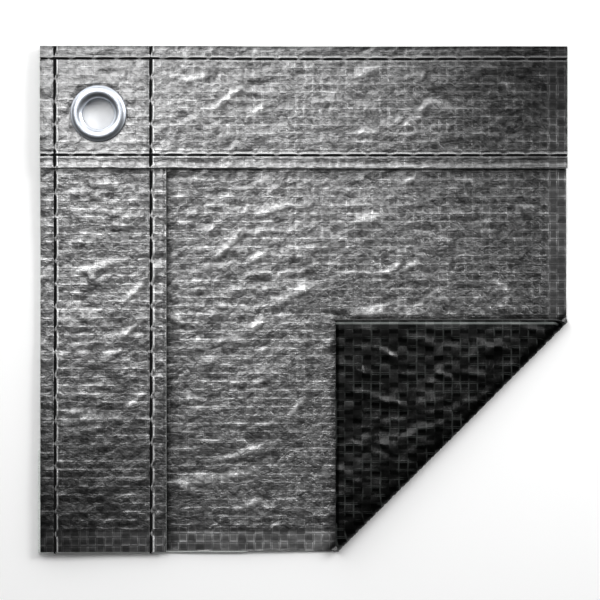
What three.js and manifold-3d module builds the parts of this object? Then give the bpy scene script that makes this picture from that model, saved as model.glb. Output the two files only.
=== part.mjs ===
// The hemmed corner of a winter pool cover, cut off square and lying flat with its silver face up. One edge band is
// sewn down the left side and a second one across the top, over the first. A metal eyelet and its back ring are
// set through both bands and the cover cloth, and the fourth corner is turned over to show the black back.
// Millimetres, +Z up, +X to the right and +Y towards the top band. The origin is on the plane that the cloth rests
// on, under the middle of the outline.
import * as THREE from "three";
import { mergeVertices } from "three/addons/utils/BufferGeometryUtils.js";
import Module from "manifold-3d";

const wasm = await Module();
wasm.setup();
const { lerp, smoothstep, degToRad } = THREE.MathUtils;

// Outline and cloth
const WIDTH = 210.3;
const HEIGHT = 201.8;
const BAND_PROUD = 0.4; // how far a band's cut end passes the cover cloth
const CLOTH = 1.0; // thickness of the coated cloth
const GAP = 0.3; // air between two pieces
const LAYER = CLOTH + GAP;
const MESH_PITCH = 9; // largest spacing of the points that carry the cloth's unevenness

// Bands and their rows of stitches, each measured from the band's outer edge
const LEFT_BAND_WIDTH = 50.1;
const TOP_BAND_WIDTH = 48.6;
const LEFT_SEAMS = [5.6, 43.8];
const TOP_SEAMS = [4.8, 43.2];
const FURROW_HALF_WIDTH = 1.1;
const FURROW_DEPTH = 0.35;
const STEP_CLEAR = 2; // the top band stays level this far past the left band's edge
const STEP_RUN = 60; // and then comes down onto the cover cloth over this length

// Turned-over corner
const FOLD_LEG = 90.6; // the fold cuts this much off the right and bottom edges
const FLAP_MARGIN = 1.55; // the turned corner's edges stand this far past the ends of the fold
const BEND_INSIDE = 1.5; // radius inside the fold
const BEND_STEPS = 8;
const FLAP_GAP = 0.45; // air under the turned corner once it has settled
const FLAP_SETTLE_RUN = 30; // the distance from the fold over which it settles
const FLAP_POINT_RISE = 1.3; // how much its point springs up again
const FLAP_POINT_RUN = 45;

// Eyelet, with its centre measured from the top left corner of the outline
const EYELET_FROM_LEFT = 23.3;
const EYELET_FROM_TOP = 27.0;
const BORE_RADIUS = 6.4;
const WALL = 0.5;
const FLANGE_RADIUS = 11.2;
const FLANGE_RIM = 0.35; // height of the flange's outer edge
const FLANGE_HEIGHT = 1.6;
const CROWN_INSIDE = 8.7; // the level ring on top of the flange
const CROWN_OUTSIDE = 9.3;
const THROAT_DEPTH = 1.0; // the flange curves into the bore until this far below its seat
const ROLL_RADIUS = 9.0; // the barrel's end is rolled out to this radius at the back
const ROLL_HEIGHT = 1.1;
const RING_INNER = 8.4;
const RING_OUTER = 11.0;
const RING_THICKNESS = 0.4;
const ROUND_STEPS = 40;
const ARC_STEPS = 5;

// Places worked out from those
const LEFT = -WIDTH / 2;
const RIGHT = WIDTH / 2;
const TOP = HEIGHT / 2;
const BOTTOM = -HEIGHT / 2;
const SHEET_RIGHT = RIGHT - BAND_PROUD;
const SHEET_BOTTOM = BOTTOM + BAND_PROUD;
const LEFT_BAND_EDGE = LEFT + LEFT_BAND_WIDTH;
const TOP_BAND_EDGE = TOP - TOP_BAND_WIDTH;
const LEFT_SEAM_XS = LEFT_SEAMS.map((fromEdge) => LEFT + fromEdge);
const TOP_SEAM_YS = TOP_SEAMS.map((fromEdge) => TOP - fromEdge);
const STEP_FROM = LEFT_BAND_EDGE + STEP_CLEAR;
const STEP_TO = STEP_FROM + STEP_RUN;
const EYELET_X = LEFT + EYELET_FROM_LEFT;
const EYELET_Y = TOP - EYELET_FROM_TOP;
const EYELET_LIFT = WALL + GAP + RING_THICKNESS + GAP; // the cloth's height above the plane round the eyelet
const EYELET_NEAR = 14; // it keeps this height as far as this from the eyelet's axis
const EYELET_FAR = 75; // and has come down by here
const CLOTH_HOLE = BORE_RADIUS + WALL + GAP;

// The fold runs at 45 degrees. A point is out * (1, -1) + along * (1, 1), both divided by the root of two, so "out"
// is the distance towards the missing corner and "along" is the distance up the fold.
const BEND_OUTSIDE = BEND_INSIDE + CLOTH;
const FOLD_OUT = (SHEET_RIGHT - SHEET_BOTTOM - FOLD_LEG) / Math.SQRT2;
const BEND_OUT = FOLD_OUT - BEND_OUTSIDE; // where the flat cloth ends and the bend starts
const BEND_DIFFERENCE = BEND_OUT * Math.SQRT2; // x - y along that line
const CORNER_LEFT = SHEET_BOTTOM + BEND_DIFFERENCE; // where that line meets the bottom edge
const CORNER_TOP = SHEET_RIGHT - BEND_DIFFERENCE; // and the right edge
const FLAP_LEFT = SHEET_RIGHT - FOLD_LEG - FLAP_MARGIN;
const FLAP_TOP = SHEET_BOTTOM + FOLD_LEG + FLAP_MARGIN;

// Low, long rises where the cloth doesn't lie quite flat: middle, direction in degrees, half length, half width and
// height. Lower than REST_BELOW they are pressed flat.
const RISES = [
  { x: -105, y: -62, turn: 90, long: 48, wide: 24, high: 1.3 },
  { x: -98, y: -100, turn: 45, long: 26, wide: 24, high: 0.7 },
  { x: -30, y: -99, turn: 8, long: 34, wide: 20, high: 0.8 },
  { x: 104, y: 34, turn: 84, long: 30, wide: 22, high: 1.0 },
  { x: 82, y: 99, turn: -6, long: 30, wide: 20, high: 0.9 },
  { x: 12, y: 18, turn: 34, long: 34, wide: 20, high: 0.5 },
  { x: -18, y: -38, turn: 52, long: 30, wide: 20, high: 0.5 },
];
const REST_BELOW = 0.12;

// Values from low to high, evenly spaced, no more than pitch apart.
function spaced(low, high, pitch = MESH_PITCH) {
  const count = Math.ceil((high - low) / pitch);
  return Array.from({ length: count + 1 }, (_, i) => lerp(low, high, i / count));
}

// The same, with each stop as one of the values.
function spacedThrough(stops) {
  const sorted = [...stops].sort((a, b) => a - b);
  return [sorted[0], ...sorted.slice(1).flatMap((high, i) => spaced(sorted[i], high).slice(1))];
}

// The middle and both sides of the furrow that a row of stitches presses in.
function furrowLines(middle) {
  return [middle - FURROW_HALF_WIDTH, middle, middle + FURROW_HALF_WIDTH];
}

// Every layer has its points on these lines, which keeps the air between the layers even.
const XS = spacedThrough([
  LEFT,
  ...LEFT_SEAM_XS.flatMap(furrowLines),
  EYELET_X - FLANGE_RADIUS,
  EYELET_X + FLANGE_RADIUS,
  LEFT_BAND_EDGE,
  STEP_FROM,
  STEP_TO,
  CORNER_LEFT,
  SHEET_RIGHT,
]);
const YS = spacedThrough([
  SHEET_BOTTOM,
  CORNER_TOP,
  TOP_BAND_EDGE,
  EYELET_Y - FLANGE_RADIUS,
  EYELET_Y + FLANGE_RADIUS,
  ...TOP_SEAM_YS.flatMap(furrowLines),
  TOP,
]);
const CORNER_CELLS = YS.indexOf(CORNER_TOP);

// One rise at a point: a bell over its length and its width.
function riseAt({ x, y, turn, long, wide, high }, px, py) {
  const [sine, cosine] = [Math.sin(degToRad(turn)), Math.cos(degToRad(turn))];
  const along = (px - x) * cosine + (py - y) * sine;
  const across = (py - y) * cosine - (px - x) * sine;
  return high * Math.exp(-((along / long) ** 2) - (across / wide) ** 2);
}

// Height of the cover cloth's underside above the plane it rests on. The eyelet's back holds it up round the hole.
function lift(x, y) {
  const away = smoothstep(Math.hypot(x - EYELET_X, y - EYELET_Y), EYELET_NEAR, EYELET_FAR);
  const rises = RISES.reduce((sum, one) => sum + riseAt(one, x, y), 0);
  return lerp(EYELET_LIFT, Math.max(0, rises - REST_BELOW), away);
}

// How deep the rows of stitches press a face in, at a place measured across the rows.
function furrows(place, rows) {
  const nearest = Math.min(...rows.map((row) => Math.abs(place - row)));
  return FURROW_DEPTH * (1 - smoothstep(nearest, 0, FURROW_HALF_WIDTH));
}

// A sheet of cloth: points that each have a face place and a back place, and the triangles between them.
class Cloth {
  constructor() {
    this.faces = [];
    this.backs = [];
    this.triangles = [];
  }

  // Adds a point and returns its number.
  point(x, y, faceHeight, backHeight) {
    this.faces.push(new THREE.Vector3(x, y, faceHeight));
    return this.backs.push(new THREE.Vector3(x, y, backHeight)) - 1;
  }

  // Fills a cell whose corners run counter-clockwise as seen from the face. Two alike leave one triangle.
  cell(a, b, c, d) {
    for (const three of [[a, b, c], [a, c, d]]) {
      if (new Set(three).size === 3) this.triangles.push(three);
    }
  }

  // The closed geometry: the face, the back and a wall along each free edge.
  solid() {
    const count = this.faces.length;
    const edges = new Set(this.triangles.flatMap(([a, b, c]) => [`${a} ${b}`, `${b} ${c}`, `${c} ${a}`]));
    const index = this.triangles.flatMap(([a, b, c]) => [a, b, c, a + count, c + count, b + count]);
    for (const edge of edges) {
      const [a, b] = edge.split(" ").map(Number);
      if (!edges.has(`${b} ${a}`)) index.push(a, b + count, b, a, a + count, b + count);
    }
    return new THREE.BufferGeometry().setFromPoints([...this.faces, ...this.backs]).setIndex(index);
  }
}

// A band over a grid of lines, with its back at height back(x, y) and furrows in its face.
function band(xs, ys, back, furrowAt) {
  const cloth = new Cloth();
  const numbers = xs.map((x) =>
    ys.map((y) => cloth.point(x, y, back(x, y) + CLOTH - furrowAt(x, y), back(x, y))),
  );
  for (let i = 1; i < xs.length; i++) {
    for (let j = 1; j < ys.length; j++) {
      cloth.cell(numbers[i - 1][j - 1], numbers[i][j - 1], numbers[i][j], numbers[i - 1][j]);
    }
  }
  return withEyeletHole(cloth.solid());
}

// Cuts the hole for the eyelet's barrel through a layer.
function withEyeletHole(geometry) {
  const plug = new THREE.CylinderGeometry(CLOTH_HOLE, CLOTH_HOLE, 20, ROUND_STEPS).rotateX(Math.PI / 2);
  const [layer, hole] = [geometry, plug.translate(EYELET_X, EYELET_Y, 0)].map((shape) => {
    shape.deleteAttribute("normal");
    shape.deleteAttribute("uv");
    const merged = mergeVertices(shape);
    const vertProperties = merged.attributes.position.array;
    const triVerts = new Uint32Array(merged.index.array);
    return new wasm.Manifold(new wasm.Mesh({ numProp: 3, vertProperties, triVerts }));
  });
  const { vertProperties, triVerts } = layer.subtract(hole).getMesh();
  const result = new THREE.BufferGeometry();
  result.setAttribute("position", new THREE.BufferAttribute(vertProperties, 3));
  return result.setIndex(new THREE.BufferAttribute(triVerts, 1));
}

// A point of the fold's bend, at a share of the bend's length, an angle round it and a radius from its axis. The
// outline cuts its ends off, and over its upper half the turned corner's own edges do too.
function bendPlace(share, angle, radius) {
  const out = BEND_OUT + radius * Math.sin(angle);
  const upper = angle > Math.PI / 2 + 1e-6;
  const low = Math.max(SHEET_BOTTOM * Math.SQRT2 + out, upper ? FLAP_LEFT * Math.SQRT2 - out : -Infinity);
  const high = Math.min(SHEET_RIGHT * Math.SQRT2 - out, upper ? FLAP_TOP * Math.SQRT2 + out : Infinity);
  const along = lerp(low, high, share);
  const [x, y] = [(along + out) / Math.SQRT2, (along - out) / Math.SQRT2];
  return new THREE.Vector3(x, y, lift(x, y) + BEND_OUTSIDE - radius * Math.cos(angle));
}

// Height of the turned corner's lower side, which is the cloth's silver face. It leaves the bend level, settles to
// FLAP_GAP over the cover cloth and springs up a little at its point.
function flapUnderside(x, y) {
  const fromBend = (BEND_DIFFERENCE - (x - y)) / Math.SQRT2;
  const fromPoint = Math.hypot(x - FLAP_LEFT, FLAP_TOP - y);
  const settled = (2 * BEND_INSIDE - FLAP_GAP) * smoothstep(fromBend, 0, FLAP_SETTLE_RUN);
  const sprung = FLAP_POINT_RISE * (1 - smoothstep(fromPoint, 0, FLAP_POINT_RUN));
  return lift(x, y) + CLOTH + 2 * BEND_INSIDE - settled + sprung;
}

// The flat part: points of the shared lines, without those past the bend. Returns the last points before the bend.
function addFlat(cloth) {
  const before = XS.indexOf(CORNER_LEFT);
  const grid = XS.map((x, i) =>
    YS.map((y, j) => (j < i - before ? undefined : cloth.point(x, y, lift(x, y) + CLOTH, lift(x, y)))),
  );
  for (let i = 1; i < XS.length; i++) {
    for (let j = Math.max(1, i - before); j < YS.length; j++) {
      cloth.cell(grid[i - 1][j - 1], grid[i][j - 1] ?? grid[i][j], grid[i][j], grid[i - 1][j]);
    }
  }
  return grid.slice(before).map((column, k) => column[k]);
}

// The bend, from the flat part's last points. Returns the points where the turned corner starts.
function addBend(cloth, start) {
  let last = start;
  for (let step = 1; step <= BEND_STEPS; step++) {
    const angle = (Math.PI * step) / BEND_STEPS;
    const next = start.map((_, k) => {
      const share = k / CORNER_CELLS;
      const x = lerp(FLAP_LEFT, FLAP_TOP + BEND_DIFFERENCE, share);
      if (step === BEND_STEPS) return addFlapPoint(cloth, x, x - BEND_DIFFERENCE);
      cloth.faces.push(bendPlace(share, angle, BEND_INSIDE));
      return cloth.backs.push(bendPlace(share, angle, BEND_OUTSIDE)) - 1;
    });
    for (let k = 1; k <= CORNER_CELLS; k++) cloth.cell(last[k - 1], next[k - 1], next[k], last[k]);
    last = next;
  }
  return last;
}

// Adds a point of the turned corner, whose back is uppermost.
function addFlapPoint(cloth, x, y) {
  return cloth.point(x, y, flapUnderside(x, y), flapUnderside(x, y) + CLOTH);
}

// The turned corner: a triangular grid that has the bend's last points on its diagonal.
function addFlap(cloth, diagonal) {
  const size = (FLAP_TOP + BEND_DIFFERENCE - FLAP_LEFT) / CORNER_CELLS;
  const grid = diagonal.map((onDiagonal, i) =>
    diagonal.map((_, j) => {
      if (j <= i) return j < i ? undefined : onDiagonal;
      return addFlapPoint(cloth, FLAP_LEFT + i * size, FLAP_LEFT + j * size - BEND_DIFFERENCE);
    }),
  );
  for (let i = 1; i <= CORNER_CELLS; i++) {
    for (let j = i; j <= CORNER_CELLS; j++) {
      cloth.cell(grid[i - 1][j], grid[i][j], grid[i][j - 1] ?? grid[i][j], grid[i - 1][j - 1]);
    }
  }
}

// The cover cloth, all one sheet. Its face is the silver side.
function coverSheet() {
  const cloth = new Cloth();
  addFlap(cloth, addBend(cloth, addFlat(cloth)));
  return withEyeletHole(cloth.solid());
}

// The band down the left side, which lies on the cover cloth.
function leftBand() {
  const xs = XS.filter((x) => x <= LEFT_BAND_EDGE);
  const ys = [BOTTOM, ...YS.slice(1)];
  return band(xs, ys, (x, y) => lift(x, y) + LAYER, (x) => furrows(x, LEFT_SEAM_XS));
}

// The band across the top, which lies on the left band first and then comes down onto the cover cloth. The left
// band's rows of stitches run on over it.
function topBand() {
  const xs = [...XS.slice(0, -1), RIGHT];
  const ys = YS.filter((y) => y >= TOP_BAND_EDGE);
  const back = (x, y) => lift(x, y) + LAYER * (2 - smoothstep(x, STEP_FROM, STEP_TO));
  return band(xs, ys, back, (x, y) => Math.max(furrows(x, LEFT_SEAM_XS), furrows(y, TOP_SEAM_YS)));
}

// Points of an elliptical arc in a profile, between two angles in degrees from the outward direction.
function arc(radius, height, halfWidth, halfHeight, from, to) {
  return Array.from({ length: ARC_STEPS + 1 }, (_, i) => {
    const angle = degToRad(lerp(from, to, i / ARC_STEPS));
    return [radius + halfWidth * Math.cos(angle), height + halfHeight * Math.sin(angle)];
  });
}

// A solid of revolution about +Z from a closed profile of [radius, height] pairs, counter-clockwise.
function turned(profile) {
  const points = [...profile, profile[0]].map(([radius, height]) => new THREE.Vector2(radius, height));
  return new THREE.LatheGeometry(points, ROUND_STEPS).rotateX(Math.PI / 2);
}

// The eyelet: a crowned flange on the face, a barrel through the cloth, and its end rolled outwards at the back.
function eyelet() {
  const seat = EYELET_LIFT + 3 * LAYER;
  const rim = seat + FLANGE_RIM;
  const crown = seat + FLANGE_HEIGHT;
  const throat = seat - THROAT_DEPTH;
  const outside = BORE_RADIUS + WALL;
  return turned([
    [outside, seat],
    [FLANGE_RADIUS, seat],
    ...arc(CROWN_OUTSIDE, rim, FLANGE_RADIUS - CROWN_OUTSIDE, crown - rim, 0, 90),
    ...arc(CROWN_INSIDE, throat, CROWN_INSIDE - BORE_RADIUS, crown - throat, 90, 180),
    ...arc(ROLL_RADIUS, ROLL_HEIGHT, ROLL_RADIUS - BORE_RADIUS, ROLL_HEIGHT, 180, 270),
    ...arc(ROLL_RADIUS, ROLL_HEIGHT, ROLL_RADIUS - outside, ROLL_HEIGHT - WALL, 270, 180),
  ]);
}

// The ring behind the cloth that the barrel's end is rolled over.
function backRing() {
  const low = WALL + GAP;
  const high = low + RING_THICKNESS;
  return turned([
    [RING_INNER, low],
    [RING_OUTER - RING_THICKNESS, low],
    [RING_OUTER, low + RING_THICKNESS / 2],
    [RING_OUTER, high],
    [RING_INNER, high],
  ]);
}

const silver = new THREE.MeshStandardMaterial({ color: 0x8e9092, roughness: 0.45, metalness: 0.6 });
const bandSilver = new THREE.MeshStandardMaterial({ color: 0x929496, roughness: 0.45, metalness: 0.6 });
const nickel = new THREE.MeshStandardMaterial({ color: 0xc9ccd2, roughness: 0.18, metalness: 1 });

const cover = new THREE.Group();

// Adds a named piece with its origin at x and y.
function add(name, geometry, material, x = 0, y = 0) {
  const mesh = new THREE.Mesh(geometry, material);
  mesh.name = name;
  mesh.position.set(x, y, 0);
  cover.add(mesh);
}

add("cover_sheet", coverSheet(), silver);
add("left_band", leftBand(), bandSilver);
add("top_band", topBand(), bandSilver);
add("eyelet", eyelet(), nickel, EYELET_X, EYELET_Y);
add("eyelet_ring", backRing(), nickel, EYELET_X, EYELET_Y);

export default cover;
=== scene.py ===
"""Looks of a pool cover corner piece: coated woven cloth with two sewn edge bands, an eyelet and a turned corner.

The piece lies flat with its silver face up. A shape is worked out in millimetres, on the sheet as it was cut, and put
into metres when its mesh is made. +X is to the right, +Y towards the top band and +Z up.
"""

import logging
import math
from collections.abc import Callable, Sequence
from dataclasses import dataclass, field, replace
from enum import Enum
from functools import reduce

import bpy
import numpy as np
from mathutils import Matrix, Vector
from numpy.typing import NDArray

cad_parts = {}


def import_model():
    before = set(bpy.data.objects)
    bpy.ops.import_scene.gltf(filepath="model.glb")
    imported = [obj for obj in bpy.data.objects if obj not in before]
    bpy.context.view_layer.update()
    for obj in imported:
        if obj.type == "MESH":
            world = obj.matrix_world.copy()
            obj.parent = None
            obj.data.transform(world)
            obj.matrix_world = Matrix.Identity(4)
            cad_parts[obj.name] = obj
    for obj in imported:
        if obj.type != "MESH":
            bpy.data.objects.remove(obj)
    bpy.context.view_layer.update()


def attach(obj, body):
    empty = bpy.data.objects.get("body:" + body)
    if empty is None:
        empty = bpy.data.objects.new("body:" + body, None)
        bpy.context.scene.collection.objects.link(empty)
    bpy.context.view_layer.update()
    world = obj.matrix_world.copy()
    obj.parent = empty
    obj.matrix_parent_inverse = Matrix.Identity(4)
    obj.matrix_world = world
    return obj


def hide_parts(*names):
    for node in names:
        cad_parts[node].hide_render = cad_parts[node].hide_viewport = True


Array = NDArray[np.float64]
Socket = bpy.types.NodeSocket
MM = 0.001
ROOT2 = math.sqrt(2.0)
TINY = 1e-6
CUT_SPAN = 250.0  # mm of the cut sheet that the UV map covers
CALM = 0.2  # strength of the crinkles where the cloth is calm
EDGE_REACH = 0.12  # mm that a cut edge stands out
SHARP_FROM = 50.0  # degrees between two faces from which their edge is sharp
LOG = logging.getLogger("cover")


@dataclass(frozen=True)
class Layout:
    """Sizes of the whole piece in millimetres, as its solids have them.

    proud is how far the bands reach past the cover cloth, solid one layer's thickness and layer that with its gap.
    Rows and eyelet are measured from the outer edges, fold_leg runs from a corner to the fold along an edge, and
    flap_margin is how much further in the turned corner's edges lie. hole is the radius of the hole in the cloth, and
    rest_below is taken off the swells, so that their ends lie flat.
    """

    width: float = 210.3
    height: float = 201.8
    proud: float = 0.4
    solid: float = 1.0
    layer: float = 1.3
    left_band: float = 50.1
    top_band: float = 48.6
    left_rows: tuple[float, float] = (5.6, 43.8)
    top_rows: tuple[float, float] = (4.8, 43.2)
    step_clear: float = 2.0
    step_run: float = 60.0
    fold_leg: float = 90.6
    flap_margin: float = 1.55
    bend_inside: float = 1.5
    flap_gap: float = 0.45
    settle_run: float = 30.0
    point_rise: float = 1.3
    point_run: float = 45.0
    eyelet_left: float = 23.3
    eyelet_top: float = 27.0
    eyelet_lift: float = 1.5
    eyelet_near: float = 14.0
    eyelet_far: float = 75.0
    hole: float = 7.2
    rest_below: float = 0.12

    @property
    def left(self) -> float:
        """The left edge."""
        return -self.width / 2

    @property
    def right(self) -> float:
        """The right end of the top band."""
        return self.width / 2

    @property
    def top(self) -> float:
        """The top edge."""
        return self.height / 2

    @property
    def bottom(self) -> float:
        """The bottom end of the left band."""
        return -self.height / 2

    @property
    def sheet_right(self) -> float:
        """The cover cloth's right edge."""
        return self.right - self.proud

    @property
    def sheet_bottom(self) -> float:
        """The cover cloth's bottom edge."""
        return self.bottom + self.proud

    @property
    def band_right(self) -> float:
        """The left band's inner edge."""
        return self.left + self.left_band

    @property
    def band_bottom(self) -> float:
        """The top band's inner edge."""
        return self.top - self.top_band

    @property
    def row_xs(self) -> tuple[float, ...]:
        """Where the left band's rows of stitches are."""
        return tuple(self.left + place for place in self.left_rows)

    @property
    def row_ys(self) -> tuple[float, ...]:
        """Where the top band's rows of stitches are."""
        return tuple(self.top - place for place in self.top_rows)

    @property
    def eyelet(self) -> tuple[float, float]:
        """The middle of the eyelet."""
        return self.left + self.eyelet_left, self.top - self.eyelet_top

    @property
    def bend_radius(self) -> float:
        """Radius of the middle of the cloth round the fold."""
        return self.bend_inside + self.solid / 2

    @property
    def bend_out(self) -> float:
        """How far out along the sheet's diagonal the bend starts."""
        fold = (self.sheet_right - self.sheet_bottom - self.fold_leg) / ROOT2
        return fold - self.bend_inside - self.solid

    @property
    def flap_left(self) -> float:
        """The turned corner's left edge."""
        return self.sheet_right - self.fold_leg - self.flap_margin

    @property
    def flap_top(self) -> float:
        """The turned corner's top edge."""
        return self.sheet_bottom + self.fold_leg + self.flap_margin


def turned_axes(x: Array, y: Array, turn: float) -> tuple[Array, Array]:
    """Places along a direction and across it: x * cos + y * sin, and y * cos - x * sin.

    Args:
        x: Places across the sheet.
        y: Places up it.
        turn: The direction in degrees.

    Returns:
        How far each point is along the direction, and how far to the left of it.
    """
    sine, cosine = math.sin(math.radians(turn)), math.cos(math.radians(turn))
    return x * cosine + y * sine, y * cosine - x * sine


@dataclass(frozen=True)
class Swell:
    """A long low rise of the cloth: middle, direction in degrees, half length, half width and height."""

    x: float
    y: float
    turn: float
    long: float
    wide: float
    high: float

    def at(self, x: Array, y: Array) -> Array:
        """Height over points: high * exp(-(along / long)^2 - (across / wide)^2).

        Args:
            x: Places across.
            y: Places up.

        Returns:
            The height at each point.
        """
        along, across = turned_axes(x - self.x, y - self.y, self.turn)
        return self.high * np.exp(-((along / self.long) ** 2) - (across / self.wide) ** 2)


LAYOUT = Layout()
SWELLS = (
    Swell(-105, -62, 90, 48, 24, 1.3),
    Swell(-98, -100, 45, 26, 24, 0.7),
    Swell(-30, -99, 8, 34, 20, 0.8),
    Swell(104, 34, 84, 30, 22, 1.0),
    Swell(82, 99, -6, 30, 20, 0.9),
    Swell(12, 18, 34, 34, 20, 0.5),
    Swell(-18, -38, 52, 30, 20, 0.5),
)


def smoothstep(value: Array, low: float, high: float) -> Array:
    """0 below low and 1 above high, with t * t * (3 - 2 * t) between.

    Args:
        value: What is measured.
        low: Where the change starts.
        high: Where it ends.

    Returns:
        A share from 0 to 1.
    """
    share = np.clip((np.asarray(value, dtype=float) - low) / (high - low), 0.0, 1.0)
    return share * share * (3.0 - 2.0 * share)


def bell(value: Array, width: float) -> Array:
    """exp(-(value / width)^2), a bell of height 1."""
    return np.exp(-((value / width) ** 2))


def from_eyelet(x: Array, y: Array) -> Array:
    """Distance from the middle of the eyelet."""
    return np.hypot(x - LAYOUT.eyelet[0], y - LAYOUT.eyelet[1])


def lift(x: Array, y: Array) -> Array:
    """Height of the cover cloth's underside: the swells, and the eyelet's back that holds it up round the hole.

    Args:
        x: Places across.
        y: Places up.

    Returns:
        The height above the floor.
    """
    away = smoothstep(from_eyelet(x, y), LAYOUT.eyelet_near, LAYOUT.eyelet_far)
    swells = sum(swell.at(x, y) for swell in SWELLS)
    return LAYOUT.eyelet_lift * (1 - away) + np.maximum(0.0, swells - LAYOUT.rest_below) * away


def streaked(x: Array, y: Array, turn: float, long: float, wide: float, seed: int) -> Array:
    """Random heights like rolling, in cells that are long in one direction and narrow across it.

    Args:
        x: Places across.
        y: Places up.
        turn: That direction in degrees.
        long: Length of a cell.
        wide: Its width.
        seed: Which chance values.

    Returns:
        The height at each point.
    """
    along, across = turned_axes(x, y, turn)
    return rolling(along / long, across / wide, 1.0, seed)


def rolling(x: Array, y: Array, cell: float, seed: int) -> Array:
    """Smooth random heights from -1 to 1: chance values on a lattice, joined by a smooth blend along x and y.

    Args:
        x: Places across.
        y: Places up.
        cell: Spacing of the lattice.
        seed: Which chance values.

    Returns:
        The height at each point.
    """
    size = 128
    table = np.random.default_rng(seed).uniform(-1.0, 1.0, (size, size))
    column, row = np.floor(x / cell).astype(int), np.floor(y / cell).astype(int)
    u, v = smoothstep(x / cell - column, 0, 1), smoothstep(y / cell - row, 0, 1)
    low, high = (
        table[column % size, line % size] * (1 - u) + table[(column + 1) % size, line % size] * u
        for line in (row, row + 1)
    )
    return low * (1 - v) + high * v


@dataclass(frozen=True)
class TapeWeave:
    """A plain weave of flat tapes: their spacing, where the first ones start, and how they stand up.

    Each row's lower edge stands up in a lip. Where an upright tape is uppermost both its edges do too, less so. Each
    place in a lip's profile is a share of the tape's width. tilt is how much a cell leans by chance, the two spreads
    how uneven arches and lips are, and the chance values repeat after so many cells each way.
    """

    start_x: float = 0.46
    start_y: float = 0.36
    across: float = 3.36
    up: float = 3.36
    relief: float = 0.025
    lip: float = 0.055
    tilt: float = 0.024
    seed: int = 5
    level_places: tuple[float, ...] = (0.0, 0.1, 0.26, 0.66, 1.0)
    level_lip: tuple[float, ...] = (1.0, 0.45, 0.0, 0.0, 1.0)
    upright_places: tuple[float, ...] = (0.0, 0.12, 0.5, 0.88, 1.0)
    upright_lip: tuple[float, ...] = (-0.7, 0.4, 0.0, 0.4, -0.7)
    level_share: float = 0.85
    upright_share: float = 0.3
    arch_spread: float = 0.1
    lip_spread: float = 0.25
    cells: int = 97

    def relief_at(self, a: Array, b: Array) -> Array:
        """Height of the tapes.

        With u and v running across and up a cell from 0 to 1, a cell where the level tape is uppermost has the height
        relief * (1 - |2u - 1|^3), and level_share times the row's lip along v. The other cells have the same arch
        along v, the whole of the row's lip, and upright_share times the upright tape's lips along u. Each cell also
        leans a little, by chance.

        Args:
            a: Places across the cut sheet.
            b: Places up it.

        Returns:
            The height at each point.
        """
        tape_a, tape_b = (a - self.start_x) / self.across + TINY, (b - self.start_y) / self.up + TINY
        column, row = np.floor(tape_a).astype(int), np.floor(tape_b).astype(int)
        u, v = tape_a - column, tape_b - row
        level = (column + row) % 2 == 0
        arch = 1 - np.abs(2 * np.where(level, u, v) - 1) ** 3
        level_lip = np.interp(v, self.level_places, self.level_lip)
        upright_lip = np.interp(u, self.upright_places, self.upright_lip)
        lips = np.where(level, self.level_share * level_lip, level_lip + self.upright_share * upright_lip)
        chance = np.random.default_rng(self.seed).normal(0.0, 1.0, (3, self.cells, self.cells))
        lean = chance[:, column % self.cells, row % self.cells]
        leaning = self.tilt * self.up * (lean[0] * (v - 0.5) + 0.5 * lean[1] * (u - 0.5))
        arches = self.relief * arch * (1 + self.arch_spread * lean[2])
        return arches + self.lip * lips * (1 + self.lip_spread * lean[1]) + leaning

    def columns(self, low: float, high: float) -> "Lines":
        """Grid lines across the tapes, from low to high."""
        return Lines(low, high, self.start_x, self.across, self.upright_places[:-1])

    def rows(self, low: float, high: float) -> "Lines":
        """Grid lines up the tapes, from low to high."""
        return Lines(low, high, self.start_y, self.up, self.level_places[:-1])


@dataclass(frozen=True)
class Lines:
    """Grid lines of a sheet: some to each tape, one to a tape where nothing shows, close ones at rows of stitches.

    edge_lines are the distances from an edge of the lines beside it, and no other line comes nearer than edge_clear.
    sewn_clear is the least distance between a row's lines and others.
    """

    low: float
    high: float
    start: float
    pitch: float
    places: tuple[float, ...]
    sewn: tuple["SewnRow", ...] = ()
    hidden: tuple[tuple[float, float], ...] = ()
    edge_lines: tuple[float, ...] = (0.0, 0.3, 0.65, 1.05, 1.5)
    edge_clear: float = 1.7
    sewn_clear: float = 0.2

    def made(self) -> Array:
        """The lines in order, with close ones at both edges too.

        Returns:
            The places of the lines.
        """
        first, last = math.floor((self.low - self.start) / self.pitch), math.ceil((self.high - self.start) / self.pitch)
        tapes = np.arange(first, last + 1)
        fine = ((tapes[:, None] + np.array(self.places)) * self.pitch + self.start).ravel()
        coarse = tapes * self.pitch + self.start
        lines = np.concatenate([fine[~self._unseen(fine)], coarse[self._unseen(coarse)]])
        for row in self.sewn:
            close = row.lines()
            apart = (lines < close[0] - self.sewn_clear) | (lines > close[-1] + self.sewn_clear)
            lines = np.concatenate([lines[apart], close])
        edge = np.array(self.edge_lines)
        lines = lines[(lines > self.low + self.edge_clear) & (lines < self.high - self.edge_clear)]
        return np.unique(np.concatenate([lines, self.low + edge, self.high - edge]))

    def _unseen(self, lines: Array) -> NDArray[np.bool_]:
        """Which lines are in a hidden stretch."""
        spans = [(lines > low) & (lines < high) for low, high in self.hidden]
        return np.logical_or.reduce(spans) if spans else np.zeros(len(lines), bool)


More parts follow.
